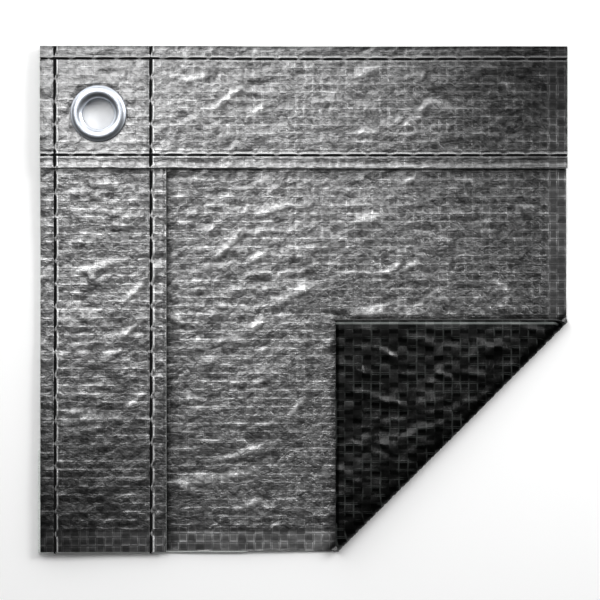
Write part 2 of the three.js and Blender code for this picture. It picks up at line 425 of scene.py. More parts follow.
@dataclass(frozen=True)
class Crease:
    """A crease: middle, direction in degrees, length, half width and height, below 0 for a trough."""

    x: float
    y: float
    turn: float
    length: float
    width: float
    height: float

    @property
    def reach(self) -> float:
        """How far from its middle it still shows."""
        return self.length / 2 * 1.4 + 4 * self.width

    def crest(self, x: Array, y: Array) -> Array:
        """Its form, sharper than a bell and with soft ends: exp(-(2 * along / length)^4 - |across / width|^1.5).

        Args:
            x: Places across, from its middle.
            y: Places up, from its middle.

        Returns:
            A share of its height, 1 in the middle.
        """
        along, across = turned_axes(x, y, self.turn)
        return np.exp(-((2 * along / self.length) ** 4) - np.abs(across / self.width) ** 1.5)


def creased(xs: Array, ys: Array, creases: Sequence[Crease]) -> Array:
    """Heights of creases over a grid, each its height times its crest.

    Args:
        xs: The grid's places across.
        ys: The grid's places up.
        creases: What is added.

    Returns:
        The heights, one row for each place across.
    """
    heights = np.zeros((len(xs), len(ys)))
    for crease in creases:
        i, j = (
            slice(*np.searchsorted(line, (middle - crease.reach, middle + crease.reach)))
            for line, middle in ((xs, crease.x), (ys, crease.y))
        )
        heights[i, j] += crease.height * crease.crest(xs[i, None] - crease.x, ys[None, j] - crease.y)
    return heights


def crease_highlight(xs: Array, ys: Array, creases: Sequence[Crease]) -> Array:
    """Painted highlight on the crests of creases that stand up, from 0 to 1 on a crest."""
    crests = [replace(crease, height=1.0, width=0.9 * crease.width) for crease in creases if crease.height > 0]
    return np.clip(creased(xs, ys, crests), 0.0, 1.0)


@dataclass(frozen=True)
class Crinkle:
    """Small creases strewn over a sheet by chance, most of them level and the others rising or falling to the right.

    spread is the area: its lowest and highest x, then y. There are crowd of them to a square millimetre. Each row of
    kinds is a share of them all, a direction in degrees and a share of high.
    """

    seed: int
    spread: tuple[float, float, float, float]
    crowd: float = 0.09
    high: float = 0.1
    kinds: tuple[tuple[float, float, float], ...] = ((0.6, 0.0, 1.0), (0.2, 38.0, 1.0), (0.2, -38.0, 0.9))

    def creases(self) -> list[Crease]:
        """The strewn creases, the same on each run.

        Directions spread by 10 degrees, lengths are 3 mm and a gamma draw with a mean of 6, half widths 0.7 to 1.3 mm,
        and heights a normal draw, so that half of them are troughs.

        Returns:
            The creases.
        """
        chance = np.random.default_rng(self.seed)
        low_x, high_x, low_y, high_y = self.spread
        count = int(self.crowd * (high_x - low_x) * (high_y - low_y))
        shares, turns, heights = np.array(self.kinds).T
        kind = chance.choice(len(self.kinds), count, p=shares)
        turn = turns[kind] + chance.normal(0, 10, count)
        length = chance.gamma(4.0, 1.5, count) + 3.0
        width = chance.uniform(0.7, 1.3, count)
        height = chance.normal(0, 1, count) * self.high * heights[kind]
        x, y = chance.uniform(low_x, high_x, count), chance.uniform(low_y, high_y, count)
        return [Crease(*values) for values in zip(x, y, turn, length, width, height, strict=True)]


class Side(Enum):
    """The material slots of a sheet, in order."""

    FACE = 0
    BACK = 1
    EDGE = 2


@dataclass
class ThinSheet:
    """A closed sheet of cloth over a grid, between a face and a back.

    face, back and edge hold a point for each grid point, edge those halfway down the cut edge. keep says which cells
    are there, cut is each point's place on the sheet as it was cut, and marks are values for the materials.
    """

    name: str
    face: Array
    back: Array
    edge: Array
    keep: NDArray[np.bool_]
    cut: Array
    marks: dict[str, Array] = field(default_factory=dict)

    def built(self) -> bpy.types.Object:
        """Makes the object: face cells, back cells turned round, and two rows of cells down each free edge.

        Returns:
            The object, with its UV map and marks.
        """
        columns, rows = self.face.shape[:2]
        number = np.arange(columns * rows).reshape(columns, rows)
        corners = np.stack([number[:-1, :-1], number[1:, :-1], number[1:, 1:], number[:-1, 1:]], axis=-1)
        cells = corners[self.keep]
        start, end = self._free_edges(number)
        total = columns * rows
        wall = [
            np.stack([end + low, start + low, start + high, end + high], axis=-1)
            for low, high in ((0, 2 * total), (2 * total, total))
        ]
        polygons = np.concatenate([cells, cells[:, ::-1] + total, *wall])
        sides = np.repeat(
            [Side.FACE.value, Side.BACK.value, Side.EDGE.value], [len(cells), len(cells), 2 * len(start)]
        )
        points = np.concatenate([part.reshape(-1, 3) for part in (self.face, self.back, self.edge)])
        used, polygons = np.unique(polygons, return_inverse=True)
        made = mesh_object(self.name, points[used], polygons.reshape(-1, 4), sides)
        self._mark(made.data, used)
        return made

    def _free_edges(self, number: NDArray[np.int64]) -> tuple[NDArray[np.int64], NDArray[np.int64]]:
        """Start and end points of each free edge, counter-clockwise round the cell that it belongs to.

        Args:
            number: Each grid point's number.

        Returns:
            The numbers where the edges start, and where they end.
        """
        framed = np.pad(self.keep, 1)
        inner = framed[1:-1, 1:-1]
        sides = (
            (framed[1:-1, :-2], number[:-1, :-1], number[1:, :-1]),
            (framed[2:, 1:-1], number[1:, :-1], number[1:, 1:]),
            (framed[1:-1, 2:], number[1:, 1:], number[:-1, 1:]),
            (framed[:-2, 1:-1], number[:-1, 1:], number[:-1, :-1]),
        )
        free = [(start[inner & ~beside], end[inner & ~beside]) for beside, start, end in sides]
        return np.concatenate([start for start, _ in free]), np.concatenate([end for _, end in free])

    def _mark(self, mesh: bpy.types.Mesh, used: NDArray[np.int64]) -> None:
        """Puts the UV map and the marks on the mesh.

        Args:
            mesh: The mesh.
            used: Which of the points before unused ones were left out each point was.
        """
        cut = np.concatenate([self.cut.reshape(-1, 2)] * 3)[used] / CUT_SPAN + 0.5
        corner = np.empty(len(mesh.loops), np.int32)
        mesh.loops.foreach_get("vertex_index", corner)
        mesh.uv_layers.new(name="cut").data.foreach_set("uv", cut[corner].ravel().astype(np.float32))
        for name, values in self.marks.items():
            mark = mesh.attributes.new(name, "FLOAT", "POINT")
            mark.data.foreach_set("value", np.concatenate([values.ravel()] * 3)[used].astype(np.float32))


def mesh_object(
    name: str, points: Array, polygons: NDArray[np.int64], sides: NDArray[np.int64] | None = None
) -> bpy.types.Object:
    """An object at the origin with its place in its mesh, smooth but for edges from SHARP_FROM degrees.

    Args:
        name: Its name.
        points: Places in millimetres.
        polygons: Point numbers, three or four to a polygon.
        sides: Material slot of each polygon.

    Returns:
        The object, in the scene.
    """
    mesh = bpy.data.meshes.new(name)
    mesh.from_pydata((points * MM).tolist(), [], polygons.tolist())
    if sides is not None:
        mesh.polygons.foreach_set("material_index", sides.astype(np.int32))
    mesh.polygons.foreach_set("use_smooth", np.ones(len(mesh.polygons), bool))
    mesh.set_sharp_from_angle(angle=math.radians(SHARP_FROM))
    mesh.update()
    made = bpy.data.objects.new(name, mesh)
    bpy.context.scene.collection.objects.link(made)
    return made


def outward(middle: Array, reach: Array) -> Array:
    """How far the halfway point of a cut edge stands out: along the line from the next point inside to the edge.

    Args:
        middle: Points of the sheet's middle.
        reach: How far each point would stand out.

    Returns:
        The shift of each point, 0 away from the outline.
    """
    shift, every = np.zeros_like(middle), slice(None)
    for edge, inside in (((0,), (1,)), ((-1,), (-2,)), ((every, 0), (every, 1)), ((every, -1), (every, -2))):
        step = middle[edge] - middle[inside]
        shift[edge] += step / np.linalg.norm(step, axis=-1, keepdims=True)
    return shift * reach[..., None]


def holed(xs: Array, ys: Array) -> tuple[Array, Array, NDArray[np.bool_]]:
    """A grid with the eyelet's hole in it: cells inside the circle go, and the points round it move onto it.

    Args:
        xs: The grid's places across.
        ys: The grid's places up.

    Returns:
        The grid's x, its y, and which cells stay.
    """
    x, y = np.meshgrid(xs, ys, indexing="ij")
    dx, dy = x - LAYOUT.eyelet[0], y - LAYOUT.eyelet[1]
    away = np.hypot(dx, dy)
    keep = from_eyelet((xs[1:, None] + xs[:-1, None]) / 2, (ys[None, 1:] + ys[None, :-1]) / 2) > LAYOUT.hole
    framed = np.pad(keep, 1, constant_values=True)
    around = framed[:-1, :-1] & framed[1:, :-1] & framed[:-1, 1:] & framed[1:, 1:]
    scale = np.where(around, 1.0, LAYOUT.hole / np.maximum(away, TINY))
    return LAYOUT.eyelet[0] + dx * scale, LAYOUT.eyelet[1] + dy * scale, keep


@dataclass(frozen=True)
class SewnRow:
    """One row of lockstitch, along x or y, at a place across it.

    The cloth is drawn into a furrow under the thread, and a thin lip of it stands up beside the thread, above a level
    row and to the right of an upright one. Between two stitches the lip comes in over the furrow. half is the
    thread's radius, shown the share of a stitch that lies on top, and fade the share over which it dives.
    """

    upright: bool
    place: float
    start: float
    end: float
    phase: float
    half: float
    lip_at: float
    stitch: float = 9.08
    shown: float = 0.72
    fade: float = 0.07
    furrow: float = 0.42
    lip: float = 0.34
    lip_width: float = 0.28
    trough: float = 0.06
    trough_width: float = 2.2

    def across(self, x: Array, y: Array) -> Array:
        """Distance from the row, positive on the lip's side."""
        return x - self.place if self.upright else y - self.place

    def between(self, x: Array, y: Array) -> Array:
        """1 between two stitches and 0 on a stitch.

        Args:
            x: Places across.
            y: Places up.

        Returns:
            The share.
        """
        along = (y if self.upright else x) / self.stitch + self.phase
        ends = (self.shown - self.fade) / 2, (self.shown + self.fade) / 2
        return smoothstep(np.abs(along - np.round(along)), *ends)

    def lines(self) -> Array:
        """Grid lines across the row, from one side of the furrow to past the lip.

        Returns:
            The places of the lines.
        """
        near = np.array([-2.0, -1.4, -1.0, -0.6, -0.2, 0.2, 0.6, 1.0]) * self.half
        lip = np.array([-0.36, -0.18, 0.0, 0.2, 0.42, 0.75, 1.15]) + self.lip_at
        return self.place + np.concatenate([near[near < lip[0] - 0.08], lip])

    def lip_middle(self, between: Array) -> Array:
        """Middle of the lip, nearer to the row between stitches."""
        return self.lip_at - (self.lip_at - 0.45 * self.half - 0.12) * between

    def pressed(self, x: Array, y: Array) -> Array:
        """What the row adds to the face's height.

        The sum of -furrow * exp(-(across / (half + 0.1))^6), less deep between stitches, and of
        lip * bell(across - its middle, lip_width), in a broad trough.

        Args:
            x: Places across.
            y: Places up.

        Returns:
            The height to add.
        """
        across, between = self.across(x, y), self.between(x, y)
        dip = -self.furrow * np.exp(-((across / (self.half + 0.1)) ** 6)) * (1 - 0.35 * between)
        lip = self.lip * bell(across - self.lip_middle(between), self.lip_width)
        return dip + lip - self.trough * bell(across, self.trough_width)

    def painted_highlight(self, x: Array, y: Array) -> Array:
        """Painted highlight on the lip, from 0 to 1."""
        return bell(self.across(x, y) - self.lip_middle(self.between(x, y)) - 0.03, self.lip_width)

    def sunk(self, x: Array, y: Array) -> Array:
        """Where the furrow is in the dark, from 0 to 1."""
        dark = np.exp(-((self.across(x, y) / (self.half + 0.05)) ** 4))
        return dark * (1 - 0.75 * self.between(x, y))


def level_row(y: float) -> SewnRow:
    """A row of the top band."""
    return SewnRow(False, y - 0.28, LAYOUT.left + 0.05, LAYOUT.right - 0.05, phase=0.707, half=0.3, lip_at=0.66)


def upright_row(x: float, phase: float, lip_at: float) -> SewnRow:
    """A row of the left band, which goes on through the top band."""
    return SewnRow(True, x, LAYOUT.bottom - 0.7, LAYOUT.top - 0.05, phase=phase, half=0.42, lip_at=lip_at)


@dataclass
class CoverParts:
    """What the classes below share: the weaves of the three pieces of cloth, its thickness, and the stitches.

    thread_sunk is how deep the middle of a thread lies below the cloth's upper side.
    """

    cover_weave: TapeWeave = TapeWeave()
    left_weave: TapeWeave = TapeWeave(start_x=1.1, start_y=2.26, seed=6)
    top_weave: TapeWeave = TapeWeave(start_x=0.2, start_y=-0.15, up=3.3, seed=7)
    thick: float = 0.7
    thread_sunk: float = 0.25
    top_rows: tuple[SewnRow, ...] = field(default_factory=lambda: tuple(level_row(y) for y in LAYOUT.row_ys))
    left_rows: tuple[SewnRow, ...] = field(
        default_factory=lambda: tuple(
            upright_row(x + 0.2, phase, lip_at)
            for x, phase, lip_at in zip(LAYOUT.row_xs, (0.828, 0.797), (1.0, 1.1), strict=True)
        )
    )


def puckered(x: Array, y: Array) -> Array:
    """How the cloth is drawn in round the eyelet: a dip at the flange and a few small folds that run out from it.

    Args:
        x: Places across.
        y: Places up.

    Returns:
        The height to add: -0.25 * exp(-(r - 11) / 1.6) and a ripple round the hole that fades by r = 18.
    """
    dx, dy = x - LAYOUT.eyelet[0], y - LAYOUT.eyelet[1]
    away, around = np.hypot(dx, dy), np.arctan2(dy, dx)
    dip = -0.25 * np.exp(-np.maximum(away - 11, 0) / 1.6)
    ripple = 0.08 * np.cos(11 * around + 1.3 * np.sin(3 * around)) * bell(away - 13.5, 2.5)
    return dip + ripple


def clamped(x: Array, y: Array) -> Array:
    """0 under the eyelet's flange, where the cloth is pressed flat, and 1 away from it."""
    return smoothstep(from_eyelet(x, y), 11.2, 12.6)


@dataclass
class Band:
    """An edge band: a strip of the cover's cloth, laid on it and sewn along both sides.

    xs and ys are its grid lines, and floor the height of its solid's middle. Where another piece lies beside it, the
    band takes a painted shadow of that piece. lip_right says that its inner edge is on the right, and else it is at the
    bottom.
    """

    name: str
    node: str
    xs: Array
    ys: Array
    floor: Callable[[Array, Array], Array]
    weave: TapeWeave
    rows: tuple[SewnRow, ...]
    crinkle: Crinkle
    creases: tuple[Crease, ...]
    # Painted shadow that another piece casts on the band, as a factor for its colour.
    grime: Callable[[Array, Array], Array]
    lip_right: bool
    thick: float

    def build(self) -> bpy.types.Object:
        """Makes the band on its solid's middle, with weave, creases, furrows and a lipped inner edge.

        Returns:
            The band.
        """
        x, y, keep = holed(self.xs, self.ys)
        sewn, free = self._sewn(x, y), clamped(x, y)
        crinkled = creased(self.xs, self.ys, [*self.crinkle.creases(), *self.creases])
        crinkled = crinkled + crumpled(x, y, 10 * self.crinkle.seed)
        crinkled = crinkled * calm_edges(x, y) * (1 - 0.6 * sewn)
        pressed = sum(row.pressed(x, y) for row in self.rows)
        middle = self.floor(x, y) + (crinkled + self._lip(x, y)) * free + puckered(x, y) + pressed
        woven = self.weave.relief_at(x, y) * (1 - 0.8 * sewn) * free
        half = self.thick / 2
        face, back = (np.stack([x, y, middle + height], axis=-1) for height in (half + woven, -half - 0.5 * woven))
        centre = np.stack([x, y, middle], axis=-1)
        edge = centre + outward(centre, np.full(x.shape, EDGE_REACH))
        painted_highlight = np.maximum.reduce([row.painted_highlight(x, y) for row in self.rows])
        sunk = np.maximum.reduce([row.sunk(x, y) for row in self.rows])
        # Marks for the materials: painted highlight on the seams' lips; painted shade from the fall of light, from the
        # piece beside the band and in the furrows; painted highlight on crease crests; painted shade on the cut edge by
        # the inner edge.
        marks = {
            "painted_highlight": painted_highlight,
            "painted_shade": (painted_falloff(x, y) * self.grime(x, y)) ** (1 - 0.2 * painted_highlight) * (1 - 0.9 * sunk),
            "crease_highlight": crease_highlight(self.xs, self.ys, self.creases) * (1 - sewn),
            "wild": calm_edges(x, y),
            "cut_edge_shade": 1 - 0.65 * self.lip_right * bell(self.xs[-1] - x, 1.0),
        }
        sheet = ThinSheet(self.name, face, back, edge, keep, np.stack([x, y], axis=-1), marks)
        return sheet.built()

    def _sewn(self, x: Array, y: Array) -> Array:
        """How near a row of stitches each point is, from 0 to 1."""
        return np.maximum.reduce([bell(row.across(x, y) - 0.3, 1.5) for row in self.rows])

    def _lip(self, x: Array, y: Array) -> Array:
        """The inner edge stands up a little over its last millimetre."""
        from_edge = self.xs[-1] - x if self.lip_right else y - self.ys[0]
        return 0.26 * bell(from_edge - 0.2, 0.8) - 0.2 * bell(from_edge - 2.4, 1.2)


# Height, direction in degrees, and length and width of a cell, of each kind of crumple.
CRUMPLES = ((0.055, 1, 4.2, 1.9), (0.06, 0, 13.0, 4.5), (0.036, 38, 4.5, 2.2), (0.044, -38, 4.0, 2.2))


def crumpled(x: Array, y: Array, seed: int) -> Array:
    """Broad shallow crumples of a sheet, long in three directions: the sum of streaked heights.

    Args:
        x: Places across.
        y: Places up.
        seed: Chance values of the first kind, with 1 more for each of the others.

    Returns:
        The height at each point.
    """
    return sum(
        high * streaked(x, y, turn, long, wide, seed + number)
        for number, (high, turn, long, wide) in enumerate(CRUMPLES)
    )


def calm_edges(x: Array, y: Array) -> Array:
    """Strength of the crinkles: 1, falling to CALM in a strip 8 mm wide at the right edge and at the bottom one.

    Args:
        x: Places across.
        y: Places up.

    Returns:
        A share from CALM to 1.
    """
    right = smoothstep(LAYOUT.sheet_right - x, 8.1, 8.5)
    bottom = smoothstep(y - LAYOUT.sheet_bottom, 7.9, 8.5)
    return CALM + (1 - CALM) * right * bottom


def shaded(distance: Array, depth: float, reach: float) -> Array:
    """Share of light left beside an edge: 1 - depth * (1 - distance / reach)^0.8, and 1 past reach or behind it."""
    near = np.clip(1 - distance / reach, 0.0, 1.0)
    return 1 - depth * np.where(distance > 0, near**0.8, 0.0)


def painted_falloff(x: Array, y: Array) -> Array:
    """Painted shade and light on the cloth: darker towards three corners, to the right and along the outer edges, where
    the light falls off.

    The product of 1 - depth * bell(distance from the corner, reach) for each corner, of a painted fall of light to the
    right, of painted light in the calm strip at the bottom, and of painted shade in strips along the edges.

    Args:
        x: Places across.
        y: Places up.

    Returns:
        A factor for the colour.
    """
    # Painted fall of light: darker towards the top right, bottom left and top left corners.
    corners = (
        (LAYOUT.right, LAYOUT.top, 0.88, 88),
        (LAYOUT.left, LAYOUT.bottom, 0.8, 74),
        (LAYOUT.left, LAYOUT.top, 0.46, 60),
    )
    painted_shade = np.ones(np.broadcast(x, y).shape)
    for corner_x, corner_y, depth, reach in corners:
        painted_shade = painted_shade * (1 - depth * bell(np.hypot(x - corner_x, y - corner_y), reach))
    # Painted fall of light to the right where the cloth is crinkled, and painted light in the calm strip at the bottom.
    crinkled, low = calm_edges(x, y), 1 - smoothstep(y, LAYOUT.bottom + 8, LAYOUT.bottom + 12)
    painted_shade = painted_shade * (1 - 0.34 * smoothstep(x, 40, 92) * crinkled) * (1 + 1.1 * (1 - crinkled) * low)
    # Painted shade in strips along the top, bottom and left edges.
    painted_shade = painted_shade * shaded(LAYOUT.top - y, 0.2, 22) * shaded(y - LAYOUT.bottom, 0.15, 24)
    return painted_shade * shaded(x - LAYOUT.left + 0.3, 0.42, 3.0) * shaded(LAYOUT.top - y + 0.2, 0.75, 1.7)


@dataclass
class TopBand(Band):
    """The band across the top, over the left band."""

    @classmethod
    def made_for(cls, parts: CoverParts) -> "TopBand":
        """The band with its sizes."""
        weave = parts.top_weave
        return cls(
            name="top_band_cloth",
            node="top_band",
            xs=replace(weave.columns(LAYOUT.left, LAYOUT.right), sewn=parts.left_rows).made(),
            ys=replace(weave.rows(LAYOUT.band_bottom, LAYOUT.top), sewn=parts.top_rows).made(),
            floor=cls.height,
            weave=weave,
            rows=(*parts.top_rows, *parts.left_rows),
            crinkle=Crinkle(21, (-106, 106, 50, 102)),
            creases=TOP_CREASES,
            grime=lambda x, _: np.ones_like(x),
            lip_right=False,
            thick=parts.thick,
        )

    @staticmethod
    def height(x: Array, y: Array) -> Array:
        """Height of its middle: on the left band first, then down to the cover cloth past that band's edge.

        Args:
            x: Places across.
            y: Places up.

        Returns:
            The height above the floor.
        """
        start = LAYOUT.band_right + LAYOUT.step_clear
        down = smoothstep(x, start, start + LAYOUT.step_run)
        return lift(x, y) + LAYOUT.layer * (2 - down) + LAYOUT.solid / 2


@dataclass
class LeftBand(Band):
    """The band down the left side, on the cover cloth."""

    @classmethod
    def made_for(cls, parts: CoverParts) -> "LeftBand":
        """The band with its sizes."""
        weave, covered = parts.left_weave, ((LAYOUT.band_bottom + 2, LAYOUT.top),)
        return cls(
            name="left_band_cloth",
            node="left_band",
            xs=replace(weave.columns(LAYOUT.left, LAYOUT.band_right), sewn=parts.left_rows).made(),
            ys=replace(weave.rows(LAYOUT.bottom, LAYOUT.top), hidden=covered).made(),
            floor=cls.height,
            weave=weave,
            rows=parts.left_rows,
            crinkle=Crinkle(22, (-106, -53, -102, 60)),
            creases=LEFT_CREASES,
            # Painted shadow of the top band, beside that band's inner edge.
            grime=lambda _, y: shaded(LAYOUT.band_bottom - y, 0.88, 3.2),
            lip_right=True,
            thick=parts.thick,
        )

    @staticmethod
    def height(x: Array, y: Array) -> Array:
        """Height of its middle."""
        return lift(x, y) + LAYOUT.layer + LAYOUT.solid / 2


TOP_CREASES = (
    Crease(-31.2, 79.7, 38, 15, 1.0, 0.34),
    Crease(-19.4, 74.7, 32, 8, 1.2, 0.42),
    Crease(25.2, 90.3, 12, 9, 1.9, 0.5),
    Crease(25.2, 66.7, 8, 8.5, 1.4, 0.42),
    Crease(42.8, 70.9, 32, 8, 1.0, 0.38),
    Crease(35.9, 70.1, 32, 8, 1.0, 0.34),
    Crease(48.4, 77.3, 40, 8, 0.9, 0.3),
    Crease(46.0, 88.0, 42, 6, 0.9, 0.25),
    Crease(82.0, 84.0, -38, 10, 1.2, 0.2),
    Crease(-44.0, 88.0, 12, 12, 1.2, 0.25),
)
LEFT_CREASES = (
    Crease(-80.8, 40.1, -18, 8, 1.1, 0.32),
    Crease(-68.3, 2.7, 42, 11, 1.0, 0.28),
    Crease(-67.9, -11.0, 42, 10, 1.0, 0.28),
    Crease(-67.5, -40.5, 41, 9, 1.0, 0.26),
    Crease(-86.0, 12.0, 14, 26, 1.6, 0.2),
    Crease(-90.0, -48.0, 10, 22, 1.5, 0.2),
    Crease(-78.0, -22.0, 14, 6, 1.1, 0.3),
)
SHEET_CREASES = (
    Crease(-31.0, 20.7, 42, 14, 1.0, 0.36),
    Crease(-19.1, 16.5, 31, 8.5, 1.2, 0.42),
    Crease(25.2, 32.1, 14, 9.5, 1.9, 0.5),
    Crease(27.8, -5.5, 6, 9, 1.8, 0.5),
    Crease(35.6, 12.5, 32, 8, 1.0, 0.36),
    Crease(42.4, 13.3, 30, 8.5, 1.0, 0.36),
    Crease(42.4, 47.7, 30, 8, 1.0, 0.36),
    Crease(-50.4, -8.9, -19, 7, 0.8, 0.36),
    Crease(-18.8, -10.3, 44, 8.5, 1.1, 0.36),
    Crease(-3.2, -43.1, 50, 10, 1.0, 0.3),
    Crease(-45.6, -40.3, -45, 6, 0.8, 0.28),
    Crease(-23.6, -82.3, 20, 12, 1.2, 0.32),
    Crease(-46.8, -75.3, -26, 8, 1.0, 0.3),
    Crease(-24.0, -61.1, 16, 20, 1.2, 0.22),
    Crease(-38.0, -71.5, 8, 40, 1.6, 0.2),
    Crease(-8.0, 60.0, 8, 22, 1.4, 0.2),
    Crease(-12.0, 36.0, 20, 14, 1.2, 0.26),
    Crease(78.0, 6.0, -36, 9, 1.2, 0.22),
    Crease(-4.0, 2.0, 24, 18, 1.3, 0.26),
)
FLAP_CREASES = (
    Crease(30.0, -40.0, -17, 25, 1.6, 0.5),
    Crease(64.0, -39.0, 27, 14, 1.5, -0.4),
    Crease(32.4, -21.4, -29, 9, 1.3, 0.42),
    Crease(56.1, -30.6, -23, 7, 1.2, 0.5),
    Crease(70.0, -34.5, -14, 18, 1.6, -0.4),
    Crease(46.2, -52.3, 25, 9, 1.1, 0.34),
    Crease(22.9, -58.5, -21, 9, 1.2, 0.42),
    Crease(24.0, -30.0, -30, 8, 1.3, 0.34),
    Crease(20.5, -73.0, -12, 8, 1.3, 0.3),
    Crease(54.3, -50.5, 6, 6, 1.1, 0.3),
    Crease(34.0, -60.0, -38, 8, 1.3, 0.34),
    Crease(47.0, -18.0, -12, 12, 1.4, 0.3),
    Crease(78.0, -18.0, 20, 10, 1.4, 0.26),
)


def past_bend(a: Array, b: Array) -> Array:
    """How far out along the sheet's diagonal a place is, from where the bend starts."""
    return (a - b) / ROOT2 - LAYOUT.bend_out


@dataclass
class CoverSheet:
    """The cover cloth with its turned corner: one sheet, cut square, mapped from flat round the fold.

    back_tilt is how much the weave's cells lean on the back, and lowest the least height of face, back and cut edge.
    """

    parts: CoverParts
    name: str = "cover_sheet_cloth"
    back_tilt: float = 0.02
    lowest: tuple[float, float, float] = (0.3, 0.02, 0.16)

    def build(self) -> bpy.types.Object:
        """Makes the sheet.

        Returns:
            The sheet, its face silver and its back black.
        """
        weave = self.parts.cover_weave
        hidden_x, hidden_y = (LAYOUT.left, LAYOUT.band_right - 3), (LAYOUT.band_bottom + 3, LAYOUT.top)
        xs = replace(weave.columns(LAYOUT.left, LAYOUT.sheet_right), hidden=(hidden_x,)).made()
        ys = replace(weave.rows(LAYOUT.sheet_bottom, LAYOUT.top), hidden=(hidden_y,)).made()
        a, b, keep = holed(xs, ys)
        covered = 1 - smoothstep(a, hidden_x[1] - 1, hidden_x[1]) * (1 - smoothstep(b, hidden_y[0], hidden_y[0] + 1))
        place, normal, turned = self.folded(a, b)
        crinkled = creased(xs, ys, [*Crinkle(23, (-54, 106, -102, 52)).creases(), *SHEET_CREASES])
        crinkled = (crinkled + crumpled(a, b, 230)) * calm_edges(a, b)
        crinkled = crinkled * (1 - covered) * (1 - 0.3 * turned) * (1 - 0.8 * self._bent(a, b))
        place = place + normal * crinkled[..., None]
        place[..., 2] += turned * self._flap_relief(place)
        woven = weave.relief_at(a, b) * (1 - covered)
        behind = replace(weave, tilt=self.back_tilt).relief_at(a, b) * (1 - covered)
        half = self.parts.thick / 2
        face = place + normal * (half + woven)[..., None]
        back = place - normal * (half + behind)[..., None]
        edge = place + outward(place, self._edge_reach(a, b))
        for part, least in zip((face, back, edge), self.lowest, strict=True):
            part[..., 2] = np.maximum(part[..., 2], least)
        # Marks for the materials: painted highlight along the turned corner's top edge; painted shade; painted
        # highlight on crease crests; painted shade on the cut edge round the turned corner.
        marks = {
            "painted_highlight": turned * bell(LAYOUT.sheet_right - a - 1.25, 0.27),
            "painted_shade": self._painted_shade_at(a, b, place, turned),
            "crease_highlight": crease_highlight(xs, ys, SHEET_CREASES) * (1 - turned),
            "wild": calm_edges(a, b),
            "cut_edge_shade": 1 - 0.985 * smoothstep(past_bend(a, b), -6, -3),
        }
        return ThinSheet(self.name, face, back, edge, keep, np.stack([a, b], axis=-1), marks).built()

    def _painted_shade_at(self, a: Array, b: Array, place: Array, turned: Array) -> Array:
        """Painted shade on the cloth.

        Painted shadows beside the bands and the turned corner and inside the bend, on that corner painted shade towards
        the fold and at its cut edges, and elsewhere the painted fall of light over the sheet.

        Args:
            a: Places across the cut sheet.
            b: Places up it.
            place: The folded places.
            turned: How far it is turned over.

        Returns:
            A factor for the colour.
        """
        x, y = place[..., 0], place[..., 1]
        # Painted shadows beside the bands, beside the turned corner's two edges and inside the bend.
        beside = shaded(a - LAYOUT.band_right, 0.86, 3.7) * shaded(LAYOUT.band_bottom - b, 0.9, 3.2)
        on_sheet, right_of = (
            smoothstep(value, edge - 1, edge) for value, edge in ((y, LAYOUT.sheet_bottom), (x, LAYOUT.flap_left))
        )
        inside = on_sheet * (1 - smoothstep(y, LAYOUT.flap_top, LAYOUT.flap_top + 1))
        by_left = 1 - (1 - shaded(LAYOUT.flap_left - x, 0.5, 2.6)) * inside
        by_top = 1 - (1 - shaded(y - LAYOUT.flap_top, 0.9, 3.0)) * right_of
        by_bend = 1 - 0.85 * smoothstep(past_bend(a, b), -3.2, -0.6)
        # On the turned corner: painted shade towards the fold and at its cut edges.
        cut = np.minimum(LAYOUT.sheet_right - a, b - LAYOUT.sheet_bottom - 0.5)
        flap = (1 - 0.65 * bell(past_bend(x, y), 30)) * (0.1 + 0.9 * smoothstep(cut, 0.6, 1.2))
        return np.where(turned > 0.5, flap, painted_falloff(a, b) * beside * by_left * by_top * by_bend)

    def folded(self, a: Array, b: Array) -> tuple[Array, Array, Array]:
        """Takes places on the flat cut sheet to the folded one.

        With out = (a - b) / root 2 and along = (a + b) / root 2, the cloth is flat up to bend_out, runs half round a
        circle of bend_radius there, and goes back the way it came. The cut is a little full at the turned corner, so
        its edges move outwards by up to full there.

        Args:
            a: Places across.
            b: Places up.

        Returns:
            The middle of the cloth, the direction that its silver face looks in, and how far it is turned over,
            from 0 to 1.
        """
        radius, start = LAYOUT.bend_radius, LAYOUT.bend_out
        length = math.pi * radius
        past = smoothstep(past_bend(a, b), 0, length)
        full = (2 * start + length) / ROOT2 + LAYOUT.sheet_bottom - LAYOUT.flap_left
        b = b - full * past * (1 - smoothstep(b - LAYOUT.sheet_bottom, 0, 45))
        a = a + full * past * (1 - smoothstep(LAYOUT.sheet_right - a, 0, 45))
        out, along = (a - b) / ROOT2, (a + b) / ROOT2
        angle = np.clip((out - start) / radius, 0, math.pi)
        over = np.maximum(out - start - length, 0)
        new_out = np.where(out < start, out, start + radius * np.sin(angle) - over)
        x, y = (along + new_out) / ROOT2, (along - new_out) / ROOT2
        height = lift(x, y) + LAYOUT.solid / 2 + radius * (1 - np.cos(angle))
        height = np.where(over > 0, self._flap_height(x, y), height)
        outwards = -np.sin(angle)
        normal = np.stack([outwards / ROOT2, -outwards / ROOT2, np.cos(angle)], axis=-1)
        return np.stack([x, y, height], axis=-1), normal, smoothstep(over, 0, 2)

    def _bent(self, a: Array, b: Array) -> Array:
        """1 in the middle of the bend, 0 away from it."""
        return bell(past_bend(a, b) - math.pi * LAYOUT.bend_radius / 2, 4)

    def _flap_height(self, x: Array, y: Array) -> Array:
        """Middle of the turned corner: level with the bend, then down to the cloth below, and up at its point.

        Args:
            x: Places across.
            y: Places up.

        Returns:
            The height above the floor.
        """
        from_point = np.hypot(x - LAYOUT.flap_left, LAYOUT.flap_top - y)
        settled = (2 * LAYOUT.bend_inside - LAYOUT.flap_gap) * smoothstep(-past_bend(x, y), 0, LAYOUT.settle_run)
        sprung = LAYOUT.point_rise * (1 - smoothstep(from_point, 0, LAYOUT.point_run))
        return lift(x, y) + LAYOUT.solid * 1.5 + 2 * LAYOUT.bend_inside - settled + sprung

